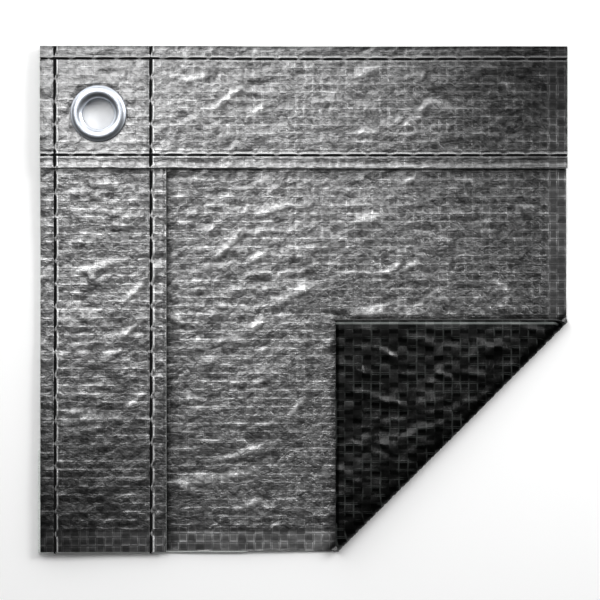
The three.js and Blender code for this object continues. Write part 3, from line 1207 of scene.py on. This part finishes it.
    def _flap_relief(self, place: Array) -> Array:
        """Creases of the turned corner, and its two cut edges, which round off downwards.

        Args:
            place: Points of the sheet's middle.

        Returns:
            The height to add.
        """
        x, y = place[..., 0], place[..., 1]
        height = 0.1 + 0.1 * rolling(x, y, 9, 41)
        height = height + 0.34 * streaked(x, y, -16, 15, 2.6, 42) + 0.22 * streaked(x, y, 12, 12, 2.4, 43)
        for crease in FLAP_CREASES:
            height = height + 2.2 * crease.height * crease.crest(x - crease.x, y - crease.y)
        from_edge = np.minimum(LAYOUT.flap_top - y, x - LAYOUT.flap_left)
        return np.maximum(height, -0.45) - 0.55 * np.exp(-np.maximum(from_edge, 0) / 0.5)

    def _edge_reach(self, a: Array, b: Array) -> Array:
        """How far the cut edge stands out: further at the lower left and beside the turned corner, and at its top edge.

        Args:
            a: Places across the cut sheet.
            b: Places up it.

        Returns:
            The distance.
        """
        left = smoothstep(-a, 100, 104) * smoothstep(b, -102, -100) * (1 - smoothstep(b, -61, -59))
        bottom = (1 - smoothstep(b, -100, -99)) * smoothstep(a, -56, -54) * (1 - smoothstep(a, -24, -22))
        turned = smoothstep(a, LAYOUT.sheet_right - 1, LAYOUT.sheet_right) * (1 - smoothstep(b, -16, -13))
        return EDGE_REACH + left + 0.5 * bottom + 0.38 * turned


@dataclass
class Thread:
    """The sewing thread of one row: for each stitch a two-ply cord that comes out of the cloth and dives back.

    reach is how far a stitch runs from its middle as a share of its length, and no piece shorter than least is built.
    Its ends dive by dive and lie slant to either side. twist is the depth of the plies and flat the thread's height,
    as shares of its radius.
    """

    row: SewnRow
    surface: Callable[[Array, Array], Array]
    rings: int = 21
    sides: int = 8
    reach: float = 0.492
    least: float = 1.2
    dive: float = 0.9
    slant: float = 0.1
    twist: float = 0.12
    flat: float = 0.8

    def build(self, name: str) -> bpy.types.Object:
        """Makes all the row's stitches as one mesh.

        Args:
            name: The piece's name.

        Returns:
            The stitches.
        """
        spans = self._spans()
        points = np.concatenate([self._stitch(low, high) for low, high in spans])
        skin, step = self._skin(), self.rings * self.sides
        polygons = np.concatenate([skin + step * number for number in range(len(spans))])
        return mesh_object(name, points, polygons)

    def _spans(self) -> list[tuple[float, float]]:
        """Where each stitch starts and ends along the row, cut off at the row's ends.

        Returns:
            The stitches' starts and ends.
        """
        row = self.row
        first, last = (math.floor(end / row.stitch + row.phase) for end in (row.start, row.end))
        middles = (np.arange(first, last + 2) - row.phase) * row.stitch
        low, high = (np.clip(middles + side * row.stitch * self.reach, row.start, row.end) for side in (-1, 1))
        return [(float(a), float(b)) for a, b in zip(low, high, strict=True) if b - a > self.least]

    def _stitch(self, low: float, high: float) -> Array:
        """Points of one stitch, ring after ring.

        The middle line runs from low to high at a height of surface less dive * |s|^14, with s from -1 to 1, so that
        both ends dive. Round it the radius is half * (1 + twist * cos(2 * angle - 4 * place along)), which is the two
        plies' twist, and the height is flat times that.

        Args:
            low: Where it starts.
            high: Where it ends.

        Returns:
            The points.
        """
        row = self.row
        share = np.linspace(-1, 1, self.rings)
        along = (low + high) / 2 + share * (high - low) / 2
        across = row.place + self.slant * share
        x, y = (across, along) if row.upright else (along, across)
        z = self.surface(x, y) - self.dive * np.abs(share) ** 14
        angle = np.linspace(0, 2 * math.pi, self.sides, endpoint=False)
        size = row.half * (1 + self.twist * np.cos(2 * angle[None, :] - 4 * along[:, None]))
        sideways, upwards = size * np.cos(angle), self.flat * size * np.sin(angle)
        ring_x = x[:, None] + (sideways if row.upright else 0 * sideways)
        ring_y = y[:, None] + (0 * sideways if row.upright else -sideways)
        return np.stack([ring_x, ring_y, z[:, None] + upwards], axis=-1).reshape(-1, 3)

    def _skin(self) -> NDArray[np.int64]:
        """The polygons of one stitch: the tube, and four-sided cells over both ends.

        Returns:
            Point numbers, four to a polygon.
        """
        number = np.arange(self.rings * self.sides).reshape(self.rings, self.sides)
        following = np.roll(number, -1, axis=1)
        tube = np.stack([number[:-1], number[1:], following[1:], following[:-1]], axis=-1).reshape(-1, 4)
        half = np.arange(self.sides // 2 - 1)
        start, end = number[0], number[-1]
        first = np.stack([start[half], start[half + 1], start[-half - 2], start[-half - 1]], axis=-1)
        last = np.stack([end[half], end[-half - 1], end[-half - 2], end[half + 1]], axis=-1)
        return np.concatenate([tube, first, last])


@dataclass
class TurnedPart:
    """A round part: a closed profile of (radius, height) carried round the eyelet's axis."""

    name: str
    profile: Array
    steps: int = 128

    def build(self) -> bpy.types.Object:
        """Makes the ring, with its axis on the eyelet's.

        Returns:
            The part.
        """
        angle = np.linspace(0, 2 * math.pi, self.steps, endpoint=False)
        radius, height = self.profile[:, 0], self.profile[:, 1]
        x = LAYOUT.eyelet[0] + radius[:, None] * np.cos(angle)
        y = LAYOUT.eyelet[1] + radius[:, None] * np.sin(angle)
        points = np.stack([x, y, np.broadcast_to(height[:, None], x.shape)], axis=-1).reshape(-1, 3)
        number = np.arange(len(radius) * self.steps).reshape(len(radius), self.steps)
        ahead, round_on = np.roll(number, -1, axis=0), np.roll(number, -1, axis=1)
        both = np.roll(ahead, -1, axis=1)
        polygons = np.stack([number, round_on, both, ahead], axis=-1).reshape(-1, 4)
        return mesh_object(self.name, points, polygons)


def arc(radius: float, height: float, wide: float, high: float, start: float, end: float, count: int = 14) -> Array:
    """Points of an elliptical arc in a profile: (radius + wide * cos t, height + high * sin t).

    Args:
        radius: Radius of the arc's middle.
        height: Height of the arc's middle.
        wide: Its half width.
        high: Its half height.
        start: First angle in degrees, 0 outwards and 90 up.
        end: Last angle.
        count: Number of points.

    Returns:
        The points.
    """
    angle = np.radians(np.linspace(start, end, count))
    return np.stack([radius + wide * np.cos(angle), height + high * np.sin(angle)], axis=-1)


@dataclass(frozen=True)
class Eyelet:
    """The eyelet's two parts: the face half with its rolled flange and barrel, and the ring behind the cloth.

    seat is the height of the cloth that the flange presses on by pressed, rim the radius of its rounded edge, and
    crown its highest circle. Behind, the barrel is rolled outwards round a circle of radius roll.
    """

    bore: float = 6.4
    wall: float = 0.5
    flange: float = 11.2
    seat: float = 5.4
    pressed: float = 0.1
    rim: float = 0.25
    crown: float = 7.0
    crown_radius: float = 8.9
    roll: float = 9.0
    roll_height: float = 1.1
    ring_inner: float = 8.4
    ring_outer: float = 11.0
    ring_low: float = 0.8
    ring_thick: float = 0.4
    flank_end: float = 40.0

    def _flank_reach(self) -> float:
        """Half width of the inner flank's arc, of which the last flank_end degrees are cut off by the bore."""
        return (self.crown_radius - self.bore) / math.cos(math.radians(self.flank_end))

    def build(self) -> tuple[bpy.types.Object, bpy.types.Object]:
        """Makes both parts.

        Returns:
            The face half and the ring.
        """
        outside, throat = self.bore + self.wall, self.seat - 1.0
        under, edge, above = self.seat - self.pressed, self.flange - self.rim, self.seat + self.rim
        face_half = np.concatenate(
            [
                [[outside, under], [edge, under]],
                arc(edge, under + self.rim, self.rim, self.rim, -90, 0, 5),
                arc(self.crown_radius, above, self.flange - self.crown_radius, self.crown - above, 4, 90),
                arc(self.crown_radius, throat, self._flank_reach(), self.crown - throat, 94, 180 - self.flank_end),
                arc(self.roll, self.roll_height, self.roll - self.bore, self.roll_height, 180, 270, 9),
                arc(self.roll, self.roll_height, self.roll - outside, self.roll_height - self.wall, 268, 180, 9),
            ]
        )
        low, high = self.ring_low, self.ring_low + self.ring_thick
        ring = np.concatenate(
            [
                [[self.ring_inner, low]],
                arc(self.ring_outer - 0.2, (low + high) / 2, 0.2, self.ring_thick / 2, -90, 90, 9),
                [[self.ring_inner, high]],
            ]
        )
        return TurnedPart("eyelet_metal", face_half).build(), TurnedPart("eyelet_back_ring", ring).build()


class NodeBook:
    """Adds nodes to a tree and joins them."""

    def __init__(self, tree: bpy.types.NodeTree) -> None:
        """Starts on an empty tree."""
        self.tree = tree
        tree.nodes.clear()

    def add(self, kind: str, inputs: dict[str | int, object] | None = None, **settings: object) -> bpy.types.Node:
        """Adds a node.

        Args:
            kind: Its type without the ShaderNode in front.
            inputs: Values or sockets for its inputs, by name or number.
            settings: Its own settings.

        Returns:
            The node.
        """
        node = self.tree.nodes.new(kind if kind.startswith("Node") else f"ShaderNode{kind}")
        for key, value in settings.items():
            setattr(node, key, value)
        for key, value in (inputs or {}).items():
            if isinstance(value, bpy.types.NodeSocket):
                self.tree.links.new(value, node.inputs[key])
            else:
                node.inputs[key].default_value = value
        return node

    def math(self, operation: str, *values: object) -> Socket:
        """A Math node's result."""
        return self.add("Math", dict(enumerate(values)), operation=operation).outputs[0]

    def times(self, *values: object) -> Socket:
        """The product of values and sockets."""
        return reduce(lambda first, second: self.math("MULTIPLY", first, second), values)

    def plus(self, *values: object) -> Socket:
        """Their sum."""
        return reduce(lambda first, second: self.math("ADD", first, second), values)

    def most(self, *values: object) -> Socket:
        """The greatest of them."""
        return reduce(lambda first, second: self.math("MAXIMUM", first, second), values)

    def mark(self, name: str) -> Socket:
        """One of the mesh's marks."""
        return self.add("Attribute", attribute_name=name).outputs["Fac"]

    def mixed(self, share: object, first: object, second: object, blend: str = "MIX") -> Socket:
        """Two colours mixed."""
        return self.add("Mix", {0: share, 6: first, 7: second}, data_type="RGBA", blend_type=blend).outputs[2]

    def ramp(self, value: Socket, low: float, high: float, start: float, end: float) -> Socket:
        """Takes low..high to start..end, smoothly and held at both ends."""
        inputs = {"Value": value, "From Min": low, "From Max": high, "To Min": start, "To Max": end}
        return self.add("MapRange", inputs, interpolation_type="SMOOTHSTEP").outputs[0]


def group(
    name: str, inputs: dict[str, tuple[str, object]], outputs: dict[str, str]
) -> tuple[bpy.types.NodeTree, NodeBook, bpy.types.Node]:
    """A new shader node group with its sockets.

    Args:
        name: Its name.
        inputs: Kind and first value of each input.
        outputs: Kind of each output.

    Returns:
        The group, a book to fill it with, and its input node.
    """
    tree = bpy.data.node_groups.new(name, "ShaderNodeTree")
    for label, (kind, value) in inputs.items():
        socket = tree.interface.new_socket(label, in_out="INPUT", socket_type=f"NodeSocket{kind}")
        if value is not None:
            socket.default_value = value
    for label, kind in outputs.items():
        tree.interface.new_socket(label, in_out="OUTPUT", socket_type=f"NodeSocket{kind}")
    book = NodeBook(tree)
    return tree, book, book.add("NodeGroupInput")


def weave_group() -> bpy.types.NodeTree:
    """Fine relief of the woven tapes: a groove and a lip at each tape's edge, ribs along it, a tone for each cell.

    Returns:
        The group. Place is in tapes on the cut sheet, and Height, Groove and Lip are in millimetres. Tone is a chance
        value for each cell and Line is 1 on a lip. Where the upright tape is uppermost, Under falls from 1 to 0 up the
        cell and Behind rises from 0 to 1 across it.
    """
    tree, book, given = group(
        "Woven tapes",
        {"Place": ("Vector", None), "Groove": ("Float", 0.05), "Lip": ("Float", 0.03), "Sides": ("Float", 0.3)},
        {"Height": "Float", "Tone": "Float", "Line": "Float", "Under": "Float", "Behind": "Float"},
    )
    apart = book.add("SeparateXYZ", {0: given.outputs["Place"]})
    column, row = book.math("FLOOR", apart.outputs[0]), book.math("FLOOR", apart.outputs[1])
    u, v = book.math("FRACT", apart.outputs[0]), book.math("FRACT", apart.outputs[1])
    from_side = book.math("MINIMUM", u, book.math("SUBTRACT", 1.0, u))
    upright = book.math("FLOORED_MODULO", book.plus(column, row), 2.0)
    level = book.math("SUBTRACT", 1.0, upright)
    groove = book.most(book.ramp(from_side, 0.0, 0.07, 0.15, 0.0), book.ramp(v, 0.82, 0.92, 0.0, 0.5))
    over = book.math("FRACT", book.plus(v, 0.08))
    lip_up, lip_down = book.ramp(over, 0.0, 0.1, 0.0, 1.0), book.ramp(over, 0.15, 0.36, 1.0, 0.0)
    low_line = book.times(lip_up, lip_down, book.ramp(level, 0.0, 1.0, 1.0, 0.8))
    side_up, side_down = book.ramp(from_side, 0.03, 0.08, 0.0, 1.0), book.ramp(from_side, 0.1, 0.18, 1.0, 0.0)
    side_line = book.times(side_up, side_down, given.outputs["Sides"])
    fading = book.add("TexNoise", {0: given.outputs["Place"], "Scale": 0.45, "Detail": 2.0}, noise_dimensions="2D")
    line = book.times(book.most(low_line, side_line), book.ramp(fading.outputs[0], 0.36, 0.64, 0.3, 1.0))
    ribs_u, ribs_v = (book.math("SINE", book.times(way, 44.0)) for way in (u, v))
    ribs = book.add("Mix", {0: level, 2: ribs_u, 3: ribs_v}, data_type="FLOAT").outputs[0]
    cell = book.add("CombineXYZ", {0: column, 1: row, 2: 0.0})
    tone = book.add("TexWhiteNoise", {0: cell.outputs[0]}, noise_dimensions="3D")
    deep = book.times(groove, book.times(given.outputs["Groove"], -1.0))
    made = {
        "Height": book.plus(deep, book.times(line, given.outputs["Lip"]), book.times(ribs, 0.003)),
        "Tone": tone.outputs[0],
        "Line": line,
        "Under": book.times(upright, book.ramp(v, 0.1, 0.9, 1.0, 0.0)),
        "Behind": book.times(upright, book.ramp(u, 0.3, 0.65, 0.0, 1.0)),
    }
    book.add("NodeGroupOutput", made)
    return tree


@dataclass(frozen=True)
class FilmLayer:
    """Crinkles in one direction: its degrees, a swell's length, width and height in mm, and how thin its crest is."""

    turn: float
    long: float
    wide: float
    high: float
    thin: float


FILM_LAYERS = (
    FilmLayer(0, 2.4, 1.15, 0.068, 0.12),
    FilmLayer(42, 2.4, 1.4, 0.052, 0.11),
    FilmLayer(-42, 2.4, 1.4, 0.06, 0.11),
)


def film_group() -> bpy.types.NodeTree:
    """Fine crinkles of the coating: in three directions, low swells with a thin crest where each is half way up.

    Returns:
        The group. Place and Height are in millimetres, Strength is the height's, and Wild how crinkled the cloth is.
        Blotch and Shade go from 0 to 1, and Crest is 1 on a crest.
    """
    tree, book, given = group(
        "Crinkled film",
        {"Place": ("Vector", None), "Strength": ("Float", 1.0), "Wild": ("Float", 1.0)},
        {"Height": "Float", "Blotch": "Float", "Shade": "Float", "Crest": "Float"},
    )
    place, wild = given.outputs["Place"], given.outputs["Wild"]
    blotch = book.add("TexNoise", {"Vector": place, "Scale": 0.09, "Detail": 3.0}, noise_dimensions="2D")
    heights, shades, crests = [], [], []
    for layer in FILM_LAYERS:
        turned = {"Location": (7.0 * layer.turn, 0, 0), "Rotation": (0, 0, math.radians(layer.turn))}
        stretched = {"Vector": place, **turned, "Scale": (layer.long, layer.wide, 1)}
        placed = book.add("Mapping", stretched, vector_type="TEXTURE").outputs[0]
        chance = {"Vector": placed, "Scale": 1.0, "Detail": 1.5, "Roughness": 0.5, "Distortion": 0.1}
        swells = book.add("TexNoise", chance, noise_dimensions="2D").outputs[0]
        there = book.add("TexNoise", {"Vector": placed, "Scale": 0.45, "Detail": 1.0}, noise_dimensions="3D")
        off = book.math("ABSOLUTE", book.math("SUBTRACT", swells, 0.5))
        crest = book.times(book.ramp(off, 0.0, layer.thin, 1.0, 0.0), book.ramp(there.outputs[0], 0.42, 0.66, 0.0, 1.0))
        crests.append(crest)
        shades.append(swells)
        heights.append(book.plus(book.times(swells, layer.high), book.times(crest, 0.025)))
    shade = book.math("SUBTRACT", book.math("DIVIDE", book.plus(*shades), len(FILM_LAYERS)), 0.5)
    made = {
        "Height": book.times(book.plus(*heights), given.outputs["Strength"], wild),
        "Blotch": blotch.outputs[0],
        "Shade": book.plus(0.5, book.times(shade, wild)),
        "Crest": book.times(book.most(*crests), wild),
    }
    book.add("NodeGroupOutput", made)
    return tree


@dataclass(frozen=True)
class Coat:
    """How one side of the coated cloth looks.

    groove and lip are the depth and height of the thin lines at a tape's edges in millimetres, crinkle is the strength
    of the film's crinkles, sides that of the lines along upright tapes, and waver how far the lines wave, in tapes.
    Its last colour is the painted highlight on a seam's lip, and on the black side along the turned corner's top edge.
    """

    colour: tuple[float, float, float]
    metallic: float
    rough: float
    groove: float
    lip: float
    crinkle: float
    sides: float
    waver: float
    painted_highlight: tuple[float, float, float]


class Coating(Enum):
    """The two sides of the coated cloth."""

    SILVER = Coat((0.2875, 0.2875, 0.289), 1.0, 0.38, 0.045, 0.048, 1.4, 0.62, 0.3, (0.71, 0.71, 0.71))
    BLACK = Coat((0.0008, 0.0009, 0.0008), 0.0, 0.32, 0.04, 0.03, 0.6, 1.0, 0.16, (0.225, 0.242, 0.233))


@dataclass(frozen=True)
class CoatedCloth:
    """One side of the coated woven cloth, as a material. Its last field is the painted highlight colour of a tape's lip
    on the black side.
    """

    side: Coating
    tapes: TapeWeave
    weave: bpy.types.NodeTree
    film: bpy.types.NodeTree
    lip_highlight: tuple[float, float, float] = (0.024, 0.026, 0.025)

    def made(self, name: str) -> bpy.types.Material:
        """Makes the material.

        Args:
            name: Its name.

        Returns:
            The material.
        """
        look: Coat = self.side.value
        material = bpy.data.materials.new(name)
        material.use_nodes = True
        book = NodeBook(material.node_tree)
        flat = book.add("UVMap", uv_map="cut").outputs[0]
        in_mm = {"Location": (-CUT_SPAN / 2, -CUT_SPAN / 2, 0), "Scale": (CUT_SPAN, CUT_SPAN, 1)}
        place = book.add("Mapping", {"Vector": flat, **in_mm}).outputs[0]
        wild = book.mark("wild")
        sides = book.ramp(wild, CALM, 1.0, 2.0 * look.sides, look.sides) if look.metallic else look.sides
        lines = {"Place": self._in_tapes(book, place, wild), "Groove": look.groove, "Lip": look.lip, "Sides": sides}
        tapes = book.add("Group", lines, node_tree=self.weave)
        film = book.add("Group", {"Place": place, "Strength": look.crinkle, "Wild": wild}, node_tree=self.film)
        height = book.plus(tapes.outputs["Height"], film.outputs["Height"])
        inputs = {
            "Base Color": self._colour(book, tapes, film, wild),
            "Metallic": self._metal(book, tapes),
            "Roughness": book.ramp(tapes.outputs["Tone"], 0.0, 1.0, look.rough - 0.02, look.rough + 0.03),
            "Normal": book.add("Bump", {"Height": height, "Distance": MM, "Strength": 1.0}).outputs[0],
            "Specular IOR Level": self._gloss(book, tapes),
            "Coat Weight": 0.8 * look.metallic,
            "Coat Roughness": 0.2,
        }
        book.add("OutputMaterial", {"Surface": book.add("BsdfPrincipled", inputs).outputs[0]})
        return material

    def _in_tapes(self, book: NodeBook, place: Socket, wild: Socket) -> Socket:
        """Places in tapes, moved a little by chance where the cloth is crinkled, so that the weave's lines wave.

        Args:
            book: The material's nodes.
            place: Places on the cut sheet in millimetres.
            wild: How crinkled the cloth is.

        Returns:
            The places.
        """
        steps = (1 / self.tapes.across, 1 / self.tapes.up, 1)
        start = (-self.tapes.start_x * steps[0], -self.tapes.start_y * steps[1], 0)
        even = book.add("Mapping", {"Vector": place, "Location": start, "Scale": steps}).outputs[0]
        chance = book.add("TexNoise", {"Vector": even, "Scale": 0.5, "Detail": 0.0}, noise_dimensions="2D")
        off = book.add("VectorMath", {0: chance.outputs["Color"], 1: (0.5, 0.5, 0.5)}, operation="SUBTRACT").outputs[0]
        reach = book.times(wild, self.side.value.waver)
        moved = book.add("VectorMath", {0: off, "Scale": reach}, operation="SCALE").outputs[0]
        return book.add("VectorMath", {0: even, 1: moved}, operation="ADD").outputs[0]

    def _metal(self, book: NodeBook, tapes: bpy.types.Node) -> Socket:
        """How metallic it is: less under the painted highlights on a seam's lip and on a crease's crest, and a little
        less on a tape's lip.

        Args:
            book: The material's nodes.
            tapes: The weave's group node.

        Returns:
            The value's socket.
        """
        metallic = self.side.value.metallic
        losses = ((book.mark("painted_highlight"), -0.6), (tapes.outputs["Line"], -0.05), (book.mark("crease_highlight"), -0.35))
        return book.plus(*(book.times(where, loss * metallic) for where, loss in losses), metallic)

    def _gloss(self, book: NodeBook, tapes: bpy.types.Node) -> float | Socket:
        """Strength of the film's reflection: even on the silver side, and less in shade and behind a lip on the black.

        Args:
            book: The material's nodes.
            tapes: The weave's group node.

        Returns:
            The value or its socket.
        """
        if self.side is Coating.SILVER:
            return 0.5
        behind = book.ramp(tapes.outputs["Behind"], 0.0, 1.0, 1.4, 0.25)
        return book.times(book.mark("painted_shade"), behind, book.ramp(tapes.outputs["Tone"], 0.0, 1.0, 0.42, 0.66))

    def _colour(self, book: NodeBook, tapes: bpy.types.Node, film: bpy.types.Node, wild: Socket) -> Socket:
        """The base colour, with painted shade and painted highlights.

        A chance tone for each cell and blotches. Painted shade falls low on upright tapes and in the film's hollows,
        painted highlights lie on the film's crests, on crests of creases, on a tape's lip and on a seam's lip, and the
        silver side also takes the painted shade over the sheet.

        Args:
            book: The material's nodes.
            tapes: The weave's group node.
            film: The crinkles' group node.
            wild: How crinkled the cloth is.

        Returns:
            The colour's socket.
        """
        look, line = self.side.value, tapes.outputs["Line"]
        under = book.times(tapes.outputs["Under"], book.ramp(wild, CALM, 1.0, 0.45, 0.12))
        # Painted shade low on upright tapes and in the film's hollows, painted highlights on crease crests, film crests
        # and tape lips.
        shade = book.times(
            book.ramp(tapes.outputs["Tone"], 0.0, 1.0, 0.88, 1.12),
            book.math("SUBTRACT", 1.0, under),
            book.ramp(film.outputs["Blotch"], 0.3, 0.7, 0.9, 1.08),
            book.ramp(film.outputs["Shade"], 0.38, 0.62, 0.66, 1.28),
            book.ramp(book.mark("crease_highlight"), 0.0, 1.0, 1.0, 2.4),
            book.ramp(film.outputs["Crest"], 0.0, 1.0, 1.0, 1.2),
            book.ramp(line, 0.0, 1.0, 1.0, 1.75),
        )
        base = book.mixed(1.0, (*look.colour, 1.0), shade, "MULTIPLY")
        if self.side is Coating.BLACK:
            # On the black side a tape's lip takes the painted highlight colour.
            base = book.mixed(book.ramp(line, 0.4, 0.95, 0.0, 1.0), base, (*self.lip_highlight, 1.0))
        # Painted highlight on a seam's lip and along the turned corner's top edge.
        bright = book.mixed(book.mark("painted_highlight"), base, (*look.painted_highlight, 1.0))
        if self.side is Coating.BLACK:
            return bright
        # Painted shade: the fall of light, shadows beside other pieces and dark furrows.
        return book.mixed(1.0, bright, book.mark("painted_shade"), "MULTIPLY")


@dataclass(frozen=True)
class PlainFinish:
    """A finish with a fine grain: colour, metallic, roughness, the grain's scale and depth in mm, and its contrast.

    gloss is the strength of its reflection, and mark the mesh's mark that darkens it, if there is one.
    """

    colour: tuple[float, float, float]
    metallic: float
    roughness: float
    grain: float
    depth: float
    contrast: float = 0.13
    gloss: float = 0.5
    mark: str = ""

    def made(self, name: str) -> bpy.types.Material:
        """Makes the material.

        Args:
            name: Its name.

        Returns:
            The material.
        """
        material = bpy.data.materials.new(name)
        material.use_nodes = True
        book = NodeBook(material.node_tree)
        place = book.add("TexCoord").outputs["Object"]
        grain = book.add("TexNoise", {"Vector": place, "Scale": 1 / (self.grain * MM), "Detail": 3.0}).outputs[0]
        shade = book.ramp(grain, 0.3, 0.7, 1 - self.contrast, 1 + self.contrast)
        base = book.mixed(1.0, (*self.colour, 1.0), shade, "MULTIPLY")
        rough = book.ramp(grain, 0.3, 0.7, self.roughness * (1 - self.contrast), self.roughness * (1 + self.contrast))
        bump = book.add("Bump", {"Height": grain, "Distance": self.depth * MM, "Strength": 1.0}).outputs[0]
        if self.mark:
            base = book.mixed(1.0, base, book.mark(self.mark), "MULTIPLY")
        inputs = {"Base Color": base, "Metallic": self.metallic, "Roughness": rough, "Normal": bump}
        shader = book.add("BsdfPrincipled", {**inputs, "Specular IOR Level": self.gloss})
        book.add("OutputMaterial", {"Surface": shader.outputs[0]})
        return material


@dataclass(frozen=True)
class Lamp:
    """A soft studio light: place and aim in millimetres, size, and how bright it alone makes a white floor there."""

    name: str
    place: tuple[float, float, float]
    aim: tuple[float, float, float]
    size: tuple[float, float]
    bright: float

    def build(self) -> None:
        """Puts the light into the scene, with power = bright * pi^2 * distance^2 / cosine of its angle from above."""
        light = bpy.data.lights.new(self.name, "AREA")
        light.shape = "RECTANGLE"
        light.size, light.size_y = self.size[0] * MM, self.size[1] * MM
        made = bpy.data.objects.new(self.name, light)
        place, aim = Vector(self.place) * MM, Vector(self.aim) * MM
        ray = place - aim
        light.energy = self.bright * math.pi**2 * ray.length_squared * ray.length / ray.z
        made.location = place
        made.rotation_euler = (aim - place).to_track_quat("-Z", "Y").to_euler()
        bpy.context.scene.collection.objects.link(made)


@dataclass
class Studio:
    """Floor, lights and camera. The camera looks straight down at a square of frame mm.

    The light from all round is horizon below the first of the angles and sky above the second, times behind at the
    bottom of the picture and ahead at its top.
    """

    frame: float = 240.0
    centre: tuple[float, float] = (-1.6, -0.34)
    lens: float = 150.0
    sensor: float = 36.0
    floor: float = 6000.0
    angles: tuple[float, float] = (20.0, 35.0)
    sky: float = 0.036
    horizon: float = 1.56
    behind: float = 0.15
    ahead: float = 1.8
    lamps: tuple[Lamp, ...] = (
        Lamp("key", (-190, 245, 435), (-40, 40, 0), (190, 360), 0.444),
        Lamp("top_key", (60, 330, 430), (0, 0, 0), (240, 160), 0.12),
        Lamp("side_key", (430, 300, 400), (0, 0, 0), (280, 220), 0.36),
    )

    def build(self) -> None:
        """Makes the studio round the piece."""
        self._floor()
        self._world()
        for lamp in self.lamps:
            lamp.build()
        self._camera()
        bpy.context.scene.view_settings.view_transform = "Standard"

    def _floor(self) -> None:
        """A pale plane that the piece lies on."""
        corner = np.array([[-1, -1, 0], [1, -1, 0], [1, 1, 0], [-1, 1, 0]]) * self.floor / 2
        floor = mesh_object("floor", corner, np.array([[0, 1, 2, 3]]))
        floor.data.materials.append(PlainFinish((0.97, 0.97, 0.97), 0.0, 0.9, 2.0, 0.0, 0.0).made("pale floor"))

    def _world(self) -> None:
        """Light from all round, strong near the horizon and weak above, most of it from the top of the picture."""
        world = bpy.data.worlds.new("studio")
        world.use_nodes = True
        bpy.context.scene.world = world
        book = NodeBook(world.node_tree)
        ray = book.add("SeparateXYZ", {0: book.add("TexCoord").outputs["Generated"]})
        upwards = book.plus(book.times(ray.outputs[0], 0.1), ray.outputs[1])
        towards = book.ramp(upwards, -0.7, 0.7, self.behind, self.ahead)
        low, high = (math.sin(math.radians(angle)) for angle in self.angles)
        strength = book.times(towards, book.ramp(ray.outputs[2], low, high, self.horizon, self.sky))
        light = book.add("Background", {"Color": (1, 1, 1, 1), "Strength": strength})
        book.add("OutputWorld", {"Surface": light.outputs[0]})

    def _camera(self) -> None:
        """The camera above the piece, with the top band at the top of the picture."""
        data = bpy.data.cameras.new("camera")
        data.lens, data.sensor_width = self.lens, self.sensor
        camera = bpy.data.objects.new("camera", data)
        camera.location = (self.centre[0] * MM, self.centre[1] * MM, self.frame * MM * self.lens / self.sensor)
        bpy.context.scene.collection.objects.link(camera)
        bpy.context.scene.camera = camera


def dress(piece: bpy.types.Object, materials: Sequence[bpy.types.Material], slot: str, *nodes: str) -> None:
    """Gives a piece its materials and its place on the part, and hides the solids that it stands for.

    Args:
        piece: The piece.
        materials: Its materials in order.
        slot: The record's slot; not used.
        nodes: The solids' names.
    """
    for material in materials:
        piece.data.materials.append(material)
    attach(piece, "root")
    if nodes:
        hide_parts(*nodes)
    LOG.info("%s: %d faces", piece.name, len(piece.data.polygons))


def main() -> None:
    """Builds the piece and the studio, in order."""
    logging.basicConfig(level=logging.INFO, format="%(message)s")
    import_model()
    parts = CoverParts()

    weave, film = weave_group(), film_group()
    # The raw cut edge takes painted shade beside the left band's inner edge, and on the turned corner and round its
    # fold.
    raw = PlainFinish((0.7, 0.73, 0.71), 0.0, 0.55, 0.4, 0.05, mark="cut_edge_shade").made("raw cut edge")
    thread = PlainFinish((0.003, 0.003, 0.0032), 0.0, 0.8, 0.12, 0.03, gloss=0.12).made("black thread")
    nickel = PlainFinish((0.5, 0.533, 0.583), 1.0, 0.34, 1.5, 0.0, 0.04).made("bright nickel")

    def cloth(tapes: TapeWeave, name: str) -> tuple[bpy.types.Material, ...]:
        """Face, back and cut edge of a piece of cloth with its own weave."""
        sides = [CoatedCloth(side, tapes, weave, film).made(f"{name} {side.name.lower()}") for side in Coating]
        return (*sides, raw)

    sheet = CoverSheet(parts).build()
    dress(sheet, cloth(parts.cover_weave, "cover"), "silver_cloth", "cover_sheet")
    left, top = LeftBand.made_for(parts), TopBand.made_for(parts)
    left_cloth = left.build()
    dress(left_cloth, cloth(parts.left_weave, "left band"), "silver_band", left.node)
    top_cloth = top.build()
    dress(top_cloth, cloth(parts.top_weave, "top band"), "silver_band", top.node)

    def on_bands(x: Array, y: Array) -> Array:
        """Height of a thread's middle on whichever band is uppermost."""
        upper = np.where(y > LAYOUT.band_bottom, TopBand.height(x, y), LeftBand.height(x, y))
        return upper + parts.thick / 2 - parts.thread_sunk

    for number, row in enumerate((*parts.top_rows, *parts.left_rows), start=1):
        dress(Thread(row, on_bands).build(f"stitches_{number}"), (thread,), "silver_band")

    metal, ring = Eyelet().build()
    dress(metal, (nickel,), "nickel", "eyelet")
    dress(ring, (nickel,), "nickel", "eyelet_ring")

    Studio().build()


if __name__ == "__main__":
    main()
